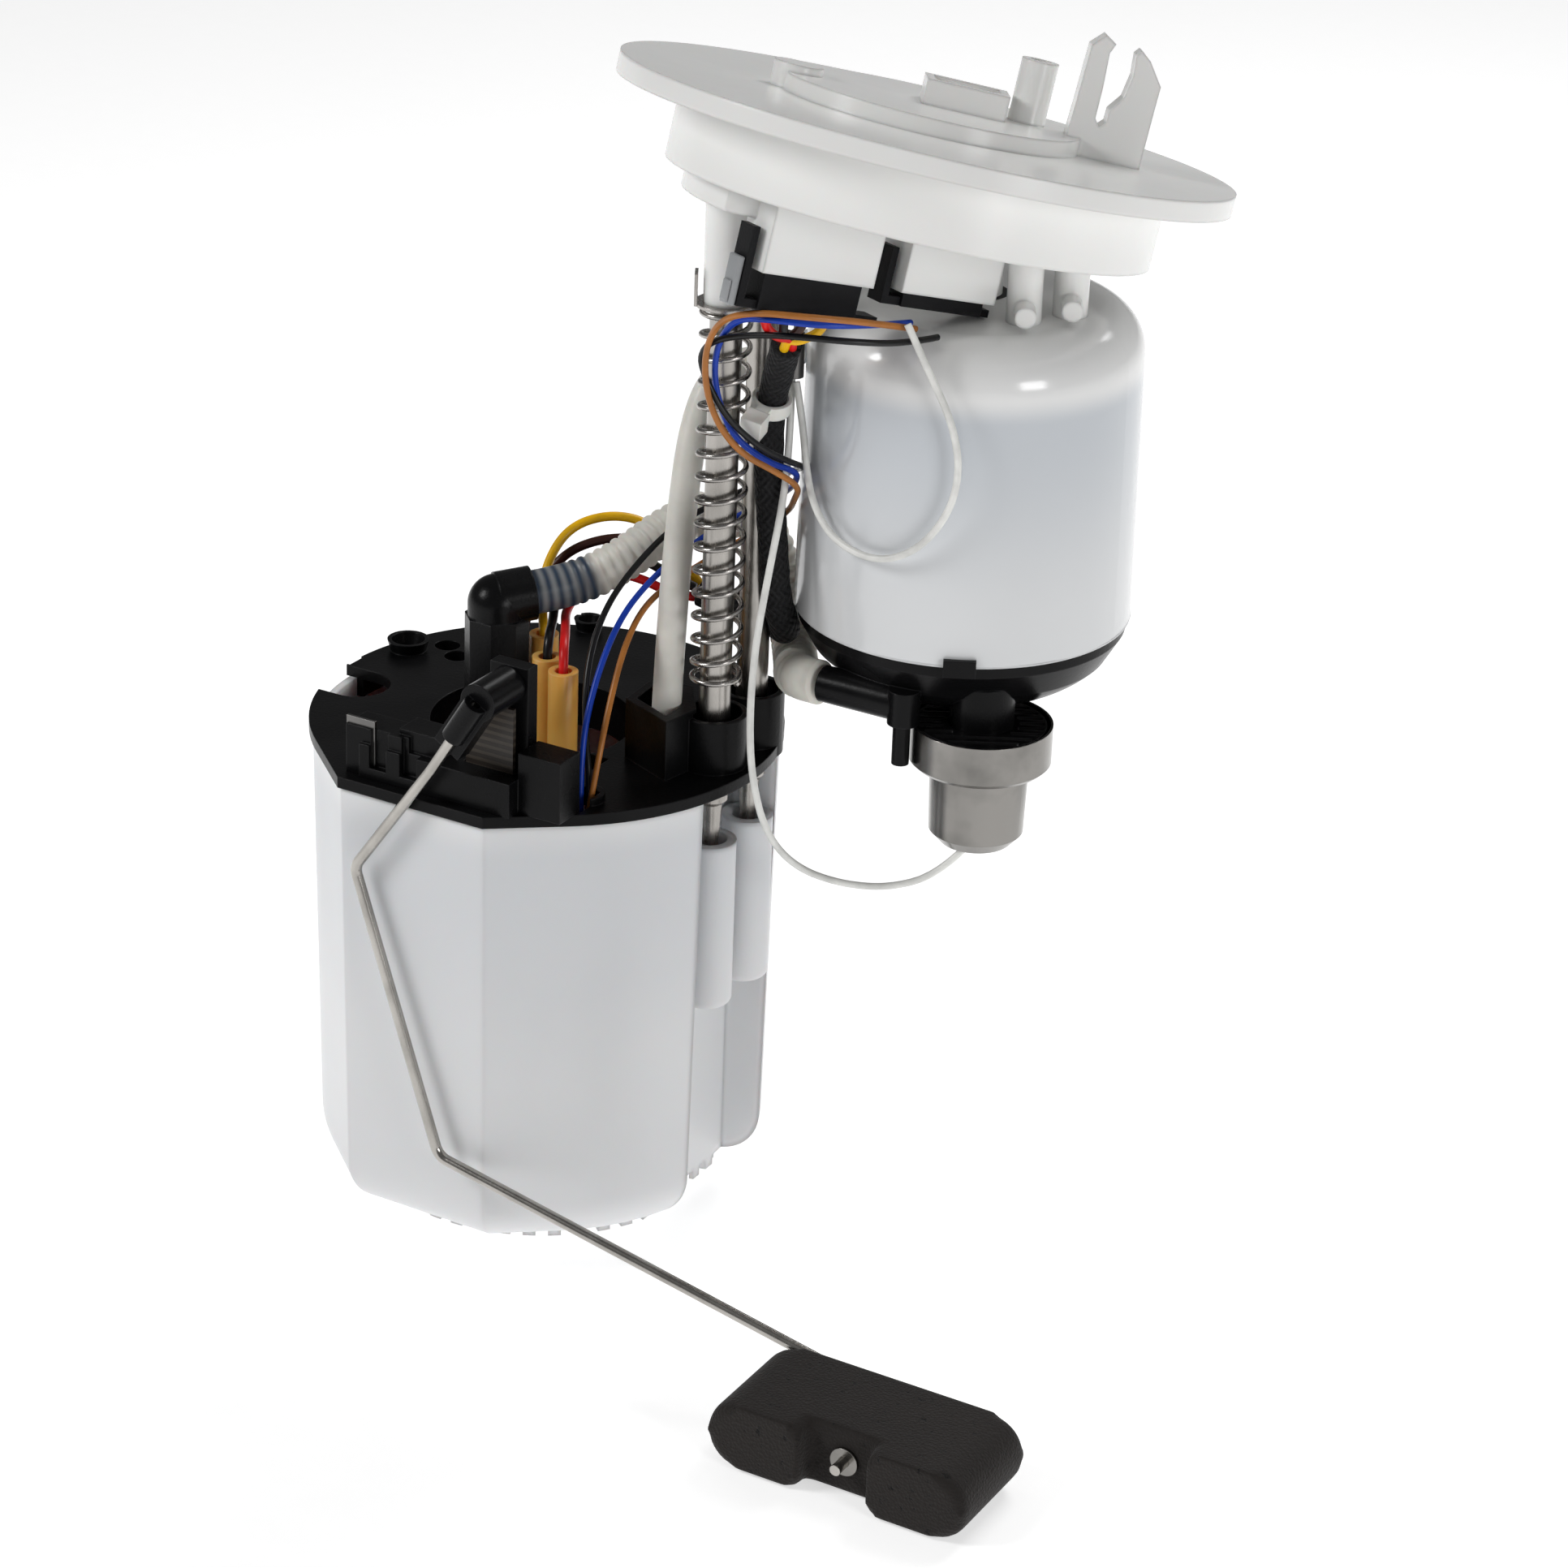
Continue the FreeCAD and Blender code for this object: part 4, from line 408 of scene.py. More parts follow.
ROD_FRONT = (-0.034, -0.0325)
SPRING_STEEL = metal("spring_steel", (0.44, 0.42, 0.40), (0.28, 0.265, 0.25), 0.20,
                     stretch=(900.0, 900.0, 900.0))
dress(SPRING_STEEL, "rod_clip")
spring = coil_piece("rod_spring_wire", ROD_FRONT, top=-0.0388, bottom=-0.137, mean=0.0059, wire=0.0007,
                    turns=17.5)
dressed(spring, SPRING_STEEL, "tank_head")
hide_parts("rod_spring")
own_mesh(spring)


# Filter: a milky nylon canister over a pleated paper element, which shows as a bluish shade through the wall.
# A rubber ring seals it to the flange's spigot, and the black cap is welded on below, with a bead of flash.
FILTER_AXIS = (0.0095, 0.0145)
FILTER_SHELL = moulded("filter_shell", (0.80, 0.80, 0.795), (0.785, 0.787, 0.785), 0.17, bump=0.03,
                       edge=0.001, cloud=18.0, Coat_Weight=0.3, Coat_Roughness=0.12)


def shows_through(finish, top, full, low, tint, most):
    """Let a tint come through a milky wall: none at the top, most at the full height, fading below."""
    tree = finish.node_tree
    socket = tree.nodes["Principled BSDF"].inputs["Base Color"]
    height = shader_node(tree, "SeparateXYZ", Vector=own_place(tree)).outputs["Z"]
    start = mapped(tree, height, over=(top, full), to=(0.0, most), smooth=True)
    fade = mapped(tree, height, over=(full, low), to=(1.0, 0.35), smooth=True)
    share = maths(tree, "MULTIPLY", start, fade)
    tone = mixed(tree, share, socket.links[0].from_socket, tint + (1,))
    tree.links.new(tone, socket)


shows_through(FILTER_SHELL, top=-0.0530, full=-0.0600, low=-0.1150, tint=(0.46, 0.50, 0.55), most=0.75)
dress(FILTER_SHELL, "filter_housing")
SEAL_RUBBER = moulded("seal_rubber", (0.010, 0.010, 0.010), (0.016, 0.016, 0.016), 0.55,
                     Specular_IOR_Level=0.25)
dress(SEAL_RUBBER, "outlet_seal")


def pleated_paper():
    finish, tree, shader = new_finish("filter_paper", Sheen_Weight=0.2)
    place = own_place(tree)
    fibre = shader_node(tree, "TexNoise", Vector=place, Scale=1800.0, Detail=5.0, Roughness=0.7)
    stain = shader_node(tree, "TexNoise", Vector=place, Scale=60.0, Detail=3.0)
    share = mapped(tree, stain.outputs["Fac"], over=(0.35, 0.7))
    tone = mixed(tree, share, (0.30, 0.37, 0.42, 1), (0.22, 0.28, 0.33, 1))
    rough = mapped(tree, fibre.outputs["Fac"], to=(0.75, 0.95))
    relief = bumped(tree, 0.5, 0.0002, fibre.outputs["Fac"])
    give_skin(tree, shader, tone, rough, relief)
    return finish


def pleated_element(centre, outer, inner, bottom, top, pleats):
    """A star of folded paper, closed at its two ends."""
    count = 2 * pleats
    ring = []
    for k in range(count):
        r = outer if k % 2 else inner + 0.30 * (outer - inner) * ((k // 2) % 2)
        a = 2 * math.pi * k / count
        ring.append((centre[0] + r * math.cos(a), centre[1] + r * math.sin(a)))
    levels = [bottom + (top - bottom) * i / 6 for i in range(7)]
    points = [(x, y, z) for z in levels for x, y in ring]
    return mesh_piece("pleated_element", points, ring_faces(len(levels), count), smooth=False)


pleats = pleated_element(FILTER_AXIS, outer=0.0338, inner=0.016, bottom=-0.112, top=-0.056, pleats=84)
dressed(pleats, pleated_paper(), "tank_head")
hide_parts("filter_element")
BLACK_PLASTIC = moulded("black_plastic", (0.004, 0.004, 0.0044), (0.007, 0.007, 0.0074), 0.26,
                        worn=(0.025, 0.025, 0.027), bump=0.18, Specular_IOR_Level=0.12)
dress(BLACK_PLASTIC, "filter_cap")


def weld_bead(name, centre, radius, thick, wave, count=160, around=8):
    """A thin uneven ring of flash that stands out where two mouldings are welded."""
    points, faces = [], []
    for i in range(count):
        a = 2 * math.pi * i / count
        swell = 1 + wave * math.sin(7 * a + 1) * math.sin(3 * a + 2)
        out = Vector((math.cos(a), math.sin(a), 0))
        here, beyond = i * around, ((i + 1) % count) * around
        for k in range(around):
            b = 2 * math.pi * k / around
            reach = radius + thick * swell * math.cos(b)
            points.append(Vector(centre) + out * reach + Vector((0, 0, thick * math.sin(b))))
            faces.append((here + k, beyond + k, beyond + (k + 1) % around, here + (k + 1) % around))
    return mesh_piece(name, points, faces)


bead = weld_bead("filter_weld_bead", FILTER_AXIS + (-0.1213,), radius=0.0419, thick=0.0004, wave=0.25)
dressed(bead, FILTER_SHELL, "tank_head")


# Regulator: a deep-drawn tinned steel can, crimped round a black insert whose top is a row of slots.
# The can hangs from the cap's socket and shows the rings that the drawing press leaves.
CAN_STEEL = metal("can_steel", (0.27, 0.26, 0.245), (0.17, 0.165, 0.155), 0.13, stretch=(60.0, 60.0, 2600.0),
                  spread=0.16)
dress(CAN_STEEL, "regulator_can")


def final_mesh(thing):
    return bpy.data.meshes.new_from_object(thing.evaluated_get(bpy.context.evaluated_depsgraph_get()))


def apply_modifiers(thing):
    """Keep the mesh that the modifiers make, and drop them."""
    made = final_mesh(thing)
    thing.modifiers.clear()
    thing.data = made


def slotted_insert(centre, radius, slots, spacing, rim, stem):
    """A black disc with parallel slots out to its rim, on either side of a solid stem."""
    shape = bmesh.new()
    middle = Matrix.Translation(Vector(centre) - Vector((0, 0, 0.0046)))
    bmesh.ops.create_cone(shape, cap_ends=True, segments=72, radius1=radius, radius2=radius - 0.0008,
                          depth=0.0084, matrix=middle)
    thing = from_bmesh("regulator_slots", shape, smooth=False)
    turn = Matrix.Translation(centre) @ Matrix.Rotation(math.radians(29), 4, "Z")
    cutters = []
    for i in range(slots):
        across = spacing * (i - (slots - 1) / 2)
        reach = math.sqrt(rim ** 2 - across ** 2)
        spans = [(-reach, reach)]
        if abs(across) <= stem:
            inside = math.sqrt(stem ** 2 - across ** 2)
            spans = [(-reach, -inside), (inside, reach)]
        for low, high in spans:
            cutters.append(rounded_block("slot_cutter", (low, across - 0.0008, -0.0030),
                                         (high, across + 0.0008, 0.002), 0.0003, turn, segments=1))
            step = thing.modifiers.new("slot", "BOOLEAN")
            step.object = cutters[-1]
            step.solver = "EXACT"
    bpy.context.view_layer.update()
    apply_modifiers(thing)
    for cutter in cutters:
        bpy.data.objects.remove(cutter)
    return thing


insert = slotted_insert((0.029, -0.010, -0.140), radius=0.0170, slots=9, spacing=0.0032, rim=0.0155,
                        stem=0.0095)
dressed(insert, BLACK_PLASTIC, "tank_head")
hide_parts("regulator_insert")


# Reservoir: a tub moulded in milky nylon, with a flat front, a channel for the rods and toothed feet.
# The wall lets a bluish shade of what is inside come through.
FROSTED_TUB = moulded("frosted_tub", (0.77, 0.77, 0.775), (0.74, 0.742, 0.75), 0.34, grain=1200.0, bump=0.08,
                      edge=0.003, cloud=16.0, Subsurface_Weight=0.1, Subsurface_Scale=0.004)
shows_through(FROSTED_TUB, top=-0.1600, full=-0.1720, low=-0.2350, tint=(0.50, 0.53, 0.57), most=0.45)
dress(FROSTED_TUB, "reservoir_pot")


# Cover: a black glass-filled plate that snaps into the tub, with the pump's opening, two rod cups,
# the return pipe's collar and two small funnels.
COVER_BLACK = moulded("cover_black", (0.003, 0.003, 0.0033), (0.006, 0.006, 0.0064), 0.30,
                      worn=(0.022, 0.022, 0.023), grain=1000.0, bump=0.28, Specular_IOR_Level=0.10)
dress(COVER_BLACK, "reservoir_cover", "pump_holder")


# Pump: a zinc-plated steel case between two black end caps, with its armature, impeller and strainer.
# It hangs under the cover's opening in a sleeve, so only its top shows.
PUMP_STEEL = metal("pump_steel", (0.55, 0.55, 0.54), (0.44, 0.44, 0.43), 0.26, stretch=(80.0, 80.0, 2200.0))
ARMATURE_IRON = metal("armature_iron", (0.30, 0.28, 0.26), (0.22, 0.19, 0.17), 0.42,
                      stretch=(1200.0, 1200.0, 1200.0))
dress(PUMP_STEEL, "pump_case")
dress(BLACK_PLASTIC, "pump_top_cap", "pump_foot_cap", "pump_impeller", "jet_pump", "outlet_valve")
dress(BLACK_PLASTIC, "arm_holder")
dress(ARMATURE_IRON, "pump_armature")
dress(SEAL_RUBBER, "foot_valve")


def strainer_cloth():
    """Woven nylon mesh: two sets of threads, over and under each other."""
    finish, tree, shader = new_finish("strainer_mesh", Sheen_Weight=0.3)
    place = own_place(tree)
    warp = shader_node(tree, "TexWave", {"bands_direction": "X"}, Vector=place, Scale=420.0, Distortion=0.3)
    weft = shader_node(tree, "TexWave", {"bands_direction": "Y"}, Vector=place, Scale=420.0, Distortion=0.3)
    high = maths(tree, "MAXIMUM", warp.outputs["Fac"], weft.outputs["Fac"])
    tone = mixed(tree, high, (0.12, 0.12, 0.11, 1), (0.62, 0.61, 0.57, 1))
    rough = mapped(tree, high, to=(0.9, 0.55))
    relief = bumped(tree, 0.6, 0.0003, high)
    give_skin(tree, shader, tone, rough, relief)
    return finish


dress(strainer_cloth(), "suction_strainer")


# Connector sleeves: soft amber silicone boots over the pump's terminals, a little translucent and oily.
# Three of them stand over the pump's opening, and one wire goes down into each.
SLEEVE_ORANGE = moulded("sleeve_orange", (0.93, 0.50, 0.12), (0.88, 0.44, 0.09), 0.30,
                        worn=(0.95, 0.58, 0.20), grain=800.0, bump=0.1, Subsurface_Weight=0.25,
                        Subsurface_Scale=0.003, Coat_Weight=0.3)
dress(SLEEVE_ORANGE, "connector_sleeve_a", "connector_sleeve_b", "connector_sleeve_c")


# Level sender: a black housing on the cover's front, with a dark resistor card and a metal contact plate.
# The card has faint bands across it where its tracks run.
def ceramic_card():
    finish, tree, shader = new_finish("card_ceramic")
    place = own_place(tree)
    bands = {"bands_direction": "Z", "wave_profile": "SIN"}
    tracks = shader_node(tree, "TexWave", bands, Vector=place, Scale=160.0, Distortion=0.2)
    mask = mapped(tree, tracks.outputs["Fac"], over=(0.55, 0.62))
    grain = shader_node(tree, "TexNoise", Vector=place, Scale=2600.0, Detail=2.0)
    tone = mixed(tree, mask, (0.020, 0.014, 0.010, 1), (0.050, 0.040, 0.030, 1))
    rough = mapped(tree, grain.outputs["Fac"], to=(0.35, 0.6))
    relief = bumped(tree, 0.3, 0.0001, mask)
    give_skin(tree, shader, tone, rough, relief)
    return finish


SENDER_BLACK = moulded("sender_black", (0.003, 0.003, 0.0033), (0.006, 0.006, 0.0064), 0.28,
                       worn=(0.022, 0.022, 0.023), grain=1600.0, bump=0.22, Specular_IOR_Level=0.10)
CONTACT_METAL = metal("contact_metal", (0.17, 0.165, 0.16), (0.10, 0.098, 0.095), 0.26)
dress(SENDER_BLACK, "sender_housing")
dress(ceramic_card(), "sender_card")
dress(CONTACT_METAL, "sender_plate", "ground_terminal")


# Float: closed-cell black foam, moulded in one block with two lobes, on a bent steel wire with a washer.
# Its edges are softly rounded and its skin is finely pitted, with painted shade darkening the deep pits.
def foam_slab(name, left, right, left_end, right_end, near, far, half, soft, place):
    """A slab with rounded ends, drawn from its outline, whose front and back edges are softened."""
    corners = ((right - right_end, right_end - half, right_end, -90),
               (right - right_end, half - right_end, right_end, 0),
               (left + left_end, half - left_end, left_end, 90),
               (left + left_end, left_end - half, left_end, 180))
    ring = []
    for x, z, r, start in corners:
        angles = [math.radians(start + 11.25 * k) for k in range(9)]
        ring += [(x + r * math.cos(a), z + r * math.sin(a)) for a in angles]
    shape = bmesh.new()
    rows = [[shape.verts.new((x, y, z)) for x, z in ring] for y in (near, far)]
    shape.faces.new(rows[0])
    shape.faces.new(rows[1][::-1])
    for k, corner in enumerate(rows[0]):
        after = (k + 1) % len(ring)
        shape.faces.new((rows[0][after], corner, rows[1][k], rows[1][after]))
    rims = [edge for edge in shape.edges if abs(edge.verts[0].co.y - edge.verts[1].co.y) < 1e-6]
    bmesh.ops.bevel(shape, geom=rims, offset=soft, segments=4, profile=0.5, affect="EDGES",
                    clamp_overlap=True)
    shape.transform(place)
    bmesh.ops.recalc_face_normals(shape, faces=shape.faces[:])
    return from_bmesh(name, shape, smooth=False)


def foam_float(centre_x, centre_z, front, back, lobe, length, height, outer=0.0084, inner=0.003):
    """The long body and its two front lobes, joined into one skin and smoothed."""
    half, high = length / 2, height / 2
    place = Matrix.Translation((centre_x, 0, centre_z))
    span = (front - lobe, back - 0.006, high, 0.0024, place)
    whole = foam_slab("float_body", -half, half, outer, outer, front, back, high, 0.0026, place)
    lobes = [foam_slab("float_lobe_left", -half, -0.0095, outer, inner, *span),
             foam_slab("float_lobe_right", 0.0085, half, inner, outer, *span)]
    for other in lobes:
        step = whole.modifiers.new("join", "BOOLEAN")
        step.operation = "UNION"
        step.object = other
    skin = whole.modifiers.new("skin", "REMESH")
    skin.mode = "VOXEL"
    skin.voxel_size = 0.0009
    soft = whole.modifiers.new("soft", "SMOOTH")
    soft.factor = 0.6
    soft.iterations = 4
    bpy.context.view_layer.update()
    apply_modifiers(whole)
    for other in lobes:
        bpy.data.objects.remove(other)
    whole.data.polygons.foreach_set("use_smooth", [True] * len(whole.data.polygons))
    whole.name = "float_foam"
    return whole


def foam_finish():
    finish, tree, shader = new_finish("foam_black", Sheen_Weight=0.08, Sheen_Roughness=0.5,
                                      Specular_IOR_Level=0.2)
    place = own_place(tree)
    cells = shader_node(tree, "TexVoronoi", Vector=place, Scale=1300.0)
    pits = shader_node(tree, "TexNoise", Vector=place, Scale=420.0, Detail=4.0, Roughness=0.7)
    cloud = shader_node(tree, "TexNoise", Vector=place, Scale=50.0, Detail=3.0)
    deep = mapped(tree, pits.outputs["Fac"], over=(0.60, 0.68))
    tone = mixed(tree, cloud.outputs["Fac"], (0.012, 0.010, 0.009, 1), (0.024, 0.020, 0.018, 1))
    # The deep pits are painted darker than the skin: painted shade inside the pits.
    darker = mixed(tree, deep, tone, (0.004, 0.0035, 0.0035, 1))
    height = maths(tree, "SUBTRACT", cells.outputs["Distance"], deep)
    rough = mapped(tree, cloud.outputs["Fac"], to=(0.72, 0.9))
    relief = bumped(tree, 0.45, 0.0004, height)
    give_skin(tree, shader, darker, rough, relief)
    return finish


foam = foam_float(0.0604, -0.2816, front=-0.1236, back=-0.0976, lobe=0.006, length=0.0696, height=0.0179)
dressed(foam, foam_finish(), "float_arm")
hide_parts("float")
WIRE_STEEL = metal("wire_steel", (0.46, 0.44, 0.41), (0.30, 0.285, 0.265), 0.16, stretch=(700.0, 700.0, 60.0))
dress(WIRE_STEEL, "float_wire")
dress(CAN_STEEL, "float_washer")


# Corrugated hose: milky nylon, from the valve's elbow behind the rods to the filter cap's inlet.
# Its ends are smooth cuffs pushed over barbs, and the first of these shows dark through the wall.
def smooth_curve(name, points, resolution):
    """A NURBS spline with the route's points, as an object."""
    curve = bpy.data.curves.new(name, "CURVE")
    curve.dimensions = "3D"
    curve.resolution_u = resolution
    spline = curve.splines.new("NURBS")
    spline.points.add(len(points) - 1)
    for point, place in zip(spline.points, points):
        point.co = tuple(place) + (1,)
    spline.order_u = 3
    spline.use_endpoint_u = True
    return placed(name, curve)


def route_line(points):
    """The places along the smooth line of a cord."""
    holder = smooth_curve("route_line", points, 24)
    bpy.context.view_layer.update()
    places = [v.co.copy() for v in final_mesh(holder).vertices]
    bpy.data.objects.remove(holder)
    return places


def even_places(line, step):
    """The same line in places a step apart, with its whole length."""
    lengths = [0.0]
    for a, b in zip(line, line[1:]):
        lengths.append(lengths[-1] + (b - a).length)
    count = max(2, int(round(lengths[-1] / step)))
    places = []
    k = 0
    for i in range(count + 1):
        s = lengths[-1] * i / count
        while k < len(line) - 2 and lengths[k + 1] < s:
            k += 1
        share = (s - lengths[k]) / max(lengths[k + 1] - lengths[k], 1e-9)
        places.append(line[k].lerp(line[k + 1], min(max(share, 0), 1)))
    return places, lengths[-1]


def tube_piece(name, points, radius_at, step, around):
    """A tube along the route. Its radius follows the distance along it, which is also kept as its UV."""
    places, length = even_places(route_line(points), step)
    ahead = (places[1] - places[0]).normalized()
    side = ahead.cross(Vector((0.3, 0.2, 1))).normalized()
    shown = []
    for i, place in enumerate(places):
        new = (places[min(i + 1, len(places) - 1)] - places[max(i - 1, 0)]).normalized()
        side = (ahead.rotation_difference(new) @ side).normalized()
        ahead = new
        other = ahead.cross(side)
        radius = radius_at(length * i / (len(places) - 1), length)
        angles = [2 * math.pi * k / around for k in range(around)]
        shown += [place + (side * math.cos(a) + other * math.sin(a)) * radius for a in angles]
    thing = mesh_piece(name, shown, ring_faces(len(places), around))
    layer = thing.data.uv_layers.new(name="along")
    for polygon in thing.data.polygons:
        ks = [thing.data.loops[j].vertex_index % around for j in polygon.loop_indices]
        wraps = max(ks) == around - 1 and min(ks) == 0
        for j in polygon.loop_indices:
            index = thing.data.loops[j].vertex_index
            k = index % around
            turn = (k + around if wraps and k < around / 2 else k) / around
            layer.data[j].uv = (length * (index // around) / (len(places) - 1) * 100, turn)
    return thing, places, length


def along_tube(tree):
    """The tube's UV, as the distance along it in X and the turn round it in Y."""
    return shader_node(tree, "SeparateXYZ", Vector=shader_node(tree, "UVMap", {"uv_map": "along"}).outputs[0])


def corrugated(s, length, cuff=0.0105, far_cuff=0.008, pitch=0.0027):
    """Round crests at an even pitch between two smooth cuffs."""
    if s < cuff or s > length - far_cuff:
        return 0.0056
    return 0.0049 + 0.00085 * abs(math.sin(math.pi * (s - cuff) / pitch)) ** 0.7


def hose_finish(name, milky, dark, dark_end):
    """Milky nylon that is darker where the barb is inside it."""
    finish, tree, shader = new_finish(name, Transmission_Weight=0.15, IOR=1.3, Subsurface_Weight=0.15,
                                      Subsurface_Scale=0.002)
    shade = tuple(0.88 * c for c in milky)
    skin = use_group(tree, MOULDED_SKIN, Colour=milky + (1,), Shade=shade + (1,), Grain=1400.0, Cloud=90.0,
                     Rough=0.36, Spread=0.15)
    along = along_tube(tree)
    inside = mapped(tree, along.outputs["X"], over=(dark_end, dark_end - 0.25))
    rings = maths(tree, "SINE", maths(tree, "MULTIPLY", along.outputs["X"], 23.0))
    bands = mapped(tree, rings, over=(-1.0, 1.0), to=(0.72, 1.0))
    share = maths(tree, "MULTIPLY", inside, bands)
    tone = mixed(tree, share, skin["Colour"], dark + (1,))
    relief = bumped(tree, 0.12, 0.0002, skin["Height"])
    give_skin(tree, shader, tone, skin["Roughness"], relief)
    return finish


CORRUGATED = [(-0.08313, -0.04018, -0.12205), (-0.0754, -0.0319, -0.1209), (-0.0674, -0.021, -0.1156),
              (-0.0623, -0.008, -0.1095), (-0.0545, 0.0025, -0.1065), (-0.0435, 0.0065, -0.11),
              (-0.0392, 0.0076, -0.1216), (-0.0348, 0.0062, -0.134), (-0.026, -0.0056, -0.1402),
              (-0.0176, -0.0213, -0.1358), (-0.01, -0.0222, -0.135)]
hose, hose_path, hose_length = tube_piece("corrugated_hose_skin", CORRUGATED, corrugated, step=0.00045,
                                          around=28)
HOSE_WHITE = hose_finish("hose_white", (0.84, 0.82, 0.75), (0.035, 0.055, 0.090), dark_end=1.75)
dressed(hose, HOSE_WHITE)
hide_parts("corrugated_hose")
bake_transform(hose)


# Return pipe: smooth natural nylon, from the collar on the cover up to the elbow on the filter.
# It is plain drawn tube with a slight cast of yellow, and its ends are swollen over their barbs.
def smooth_pipe(s, length):
    swell = sum(math.exp(-((end - 0.004) / 0.003) ** 2) for end in (s, length - s))
    return 0.0037 + 0.00025 * swell


RETURN_PIPE = [(-0.0446, -0.039, -0.1605), (-0.0443, -0.0386, -0.146), (-0.0454, -0.0356, -0.13),
               (-0.0486, -0.0284, -0.112), (-0.0516, -0.0206, -0.096), (-0.0536, -0.0135, -0.081),
               (-0.0526, -0.0075, -0.0695), (-0.0476, -0.0015, -0.0649), (-0.0404, 0.0046, -0.0646),
               (-0.0396, 0.0114, -0.0645)]
pipe, pipe_path, pipe_length = tube_piece("return_pipe", RETURN_PIPE, smooth_pipe, step=0.0016, around=28)
PIPE_WHITE = hose_finish("pipe_white", (0.84, 0.82, 0.76), (0.4, 0.42, 0.42), dark_end=0.35)
dressed(pipe, PIPE_WHITE)
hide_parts("return_hose")
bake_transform(pipe)


# Braided sleeve: black polyester braid over the pump's four wires, from the plug down to where they fan out.
# Bundles of filaments cross over and under at a slant, with painted sheen on their crests and painted shade
# between them, and a white nylon tie grips it near the top.
def braid_group():
    """Two slanting sets of strands from the tube's UV, with each crossing going over or under."""
    inputs = [("Pitch", "Float", 12.0), ("Strands", "Float", 12.0)]
    tree, given, out = new_group("braid", inputs, [("Height", "Float")])
    uv = along_tube(tree)
    down = maths(tree, "MULTIPLY", uv.outputs["X"], given["Pitch"])
    across = maths(tree, "MULTIPLY", uv.outputs["Y"], given["Strands"])
    crests = []
    for line in (maths(tree, "ADD", down, across), maths(tree, "SUBTRACT", down, across)):
        wave = maths(tree, "SINE", maths(tree, "MULTIPLY", line, math.pi))
        crests.append(maths(tree, "ABSOLUTE", wave))
    over = maths(tree, "PINGPONG", down, 1.0)
    high = shader_node(tree, "Mix", {"data_type": "FLOAT"}, i0=over, i2=crests[0], i3=crests[1])
    top = maths(tree, "MAXIMUM", *crests)
    tree.links.new(maths(tree, "MULTIPLY", high.outputs[0], top), out["Height"])
    return tree


def braid_finish():
    finish, tree, shader = new_finish("braid_black", Sheen_Weight=0.04, Sheen_Roughness=0.4,
                                      Specular_IOR_Level=0.25)
    weave = use_group(tree, braid_group(), Pitch=4.2, Strands=12.0)
    hairs = shader_node(tree, "TexNoise", Vector=own_place(tree), Scale=3000.0, Detail=3.0)
    # The strands' crests are painted lighter as a painted sheen, and the gaps between them darker as painted
    # shade.
    tone = mixed(tree, weave["Height"], (0.002, 0.002, 0.0024, 1), (0.010, 0.010, 0.011, 1))
    rough = mapped(tree, hairs.outputs["Fac"], to=(0.5, 0.8))
    height = maths(tree, "MULTIPLY_ADD", hairs.outputs["Fac"], 0.15, weave["Height"])
    relief = bumped(tree, 0.8, 0.0005, height)
    give_skin(tree, shader, tone, rough, relief)
    return finish


def braid_radius(s, length):
    """Slightly waisted under the tie, fuller where the sleeve bunches near its lower bend."""
    tie = math.exp(-((s - 0.0245) / 0.004) ** 2)
    bunch = math.exp(-((s - 0.098) / 0.016) ** 2)
    return 0.0037 - 0.0003 * tie + 0.0003 * bunch + 0.00007 * math.sin(900 * s)


BRAID = [(-0.0155, -0.0355, -0.044), (-0.021, -0.0285, -0.053), (-0.0255, -0.0245, -0.064),
         (-0.0266, -0.023, -0.078), (-0.0264, -0.0212, -0.092), (-0.0262, -0.0192, -0.105),
         (-0.0262, -0.0174, -0.1175), (-0.0263, -0.011, -0.129), (-0.0318, -0.0049, -0.1302),
         (-0.0425, -0.0052, -0.129), (-0.054, -0.0062, -0.1265)]
braid, braid_path, braid_length = tube_piece("braided_sleeve_skin", BRAID, braid_radius, step=0.0011,
                                             around=36)
dressed(braid, braid_finish())
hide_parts("braided_sleeve")
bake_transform(braid)
TIE_WHITE = moulded("tie_white", (0.85, 0.84, 0.79), (0.78, 0.77, 0.72), 0.35, worn=(0.95, 0.95, 0.92),
                    Subsurface_Weight=0.1, Subsurface_Scale=0.002)
dress(TIE_WHITE, "cable_tie")


# Pump wires: four, 2.4 mm across, in coloured insulation, with short ends between the plug and the braid.
# Below the braid they fan out, three into the sleeves on the pump's terminals and one down beside the pump.
def insulation(name, colour):
    return moulded(name, colour, tuple(0.8 * c for c in colour), 0.34, grain=700.0, bump=0.08, cloud=140.0,
                   edge=0.0002, Specular_IOR_Level=0.3, Coat_Weight=0.08, Coat_Roughness=0.25)


def wire_curve(name, points, diameter, colour, body):
    """A wire as a round-bevelled curve along the route, with its length."""
    wire = smooth_curve(name, points, 10)
    wire.data.bevel_depth = diameter / 2
    wire.data.bevel_resolution = 4
    wire.data.use_fill_caps = True
    length = even_places(route_line(points), 0.001)[1]
    return dressed(wire, WIRE[colour], body), length


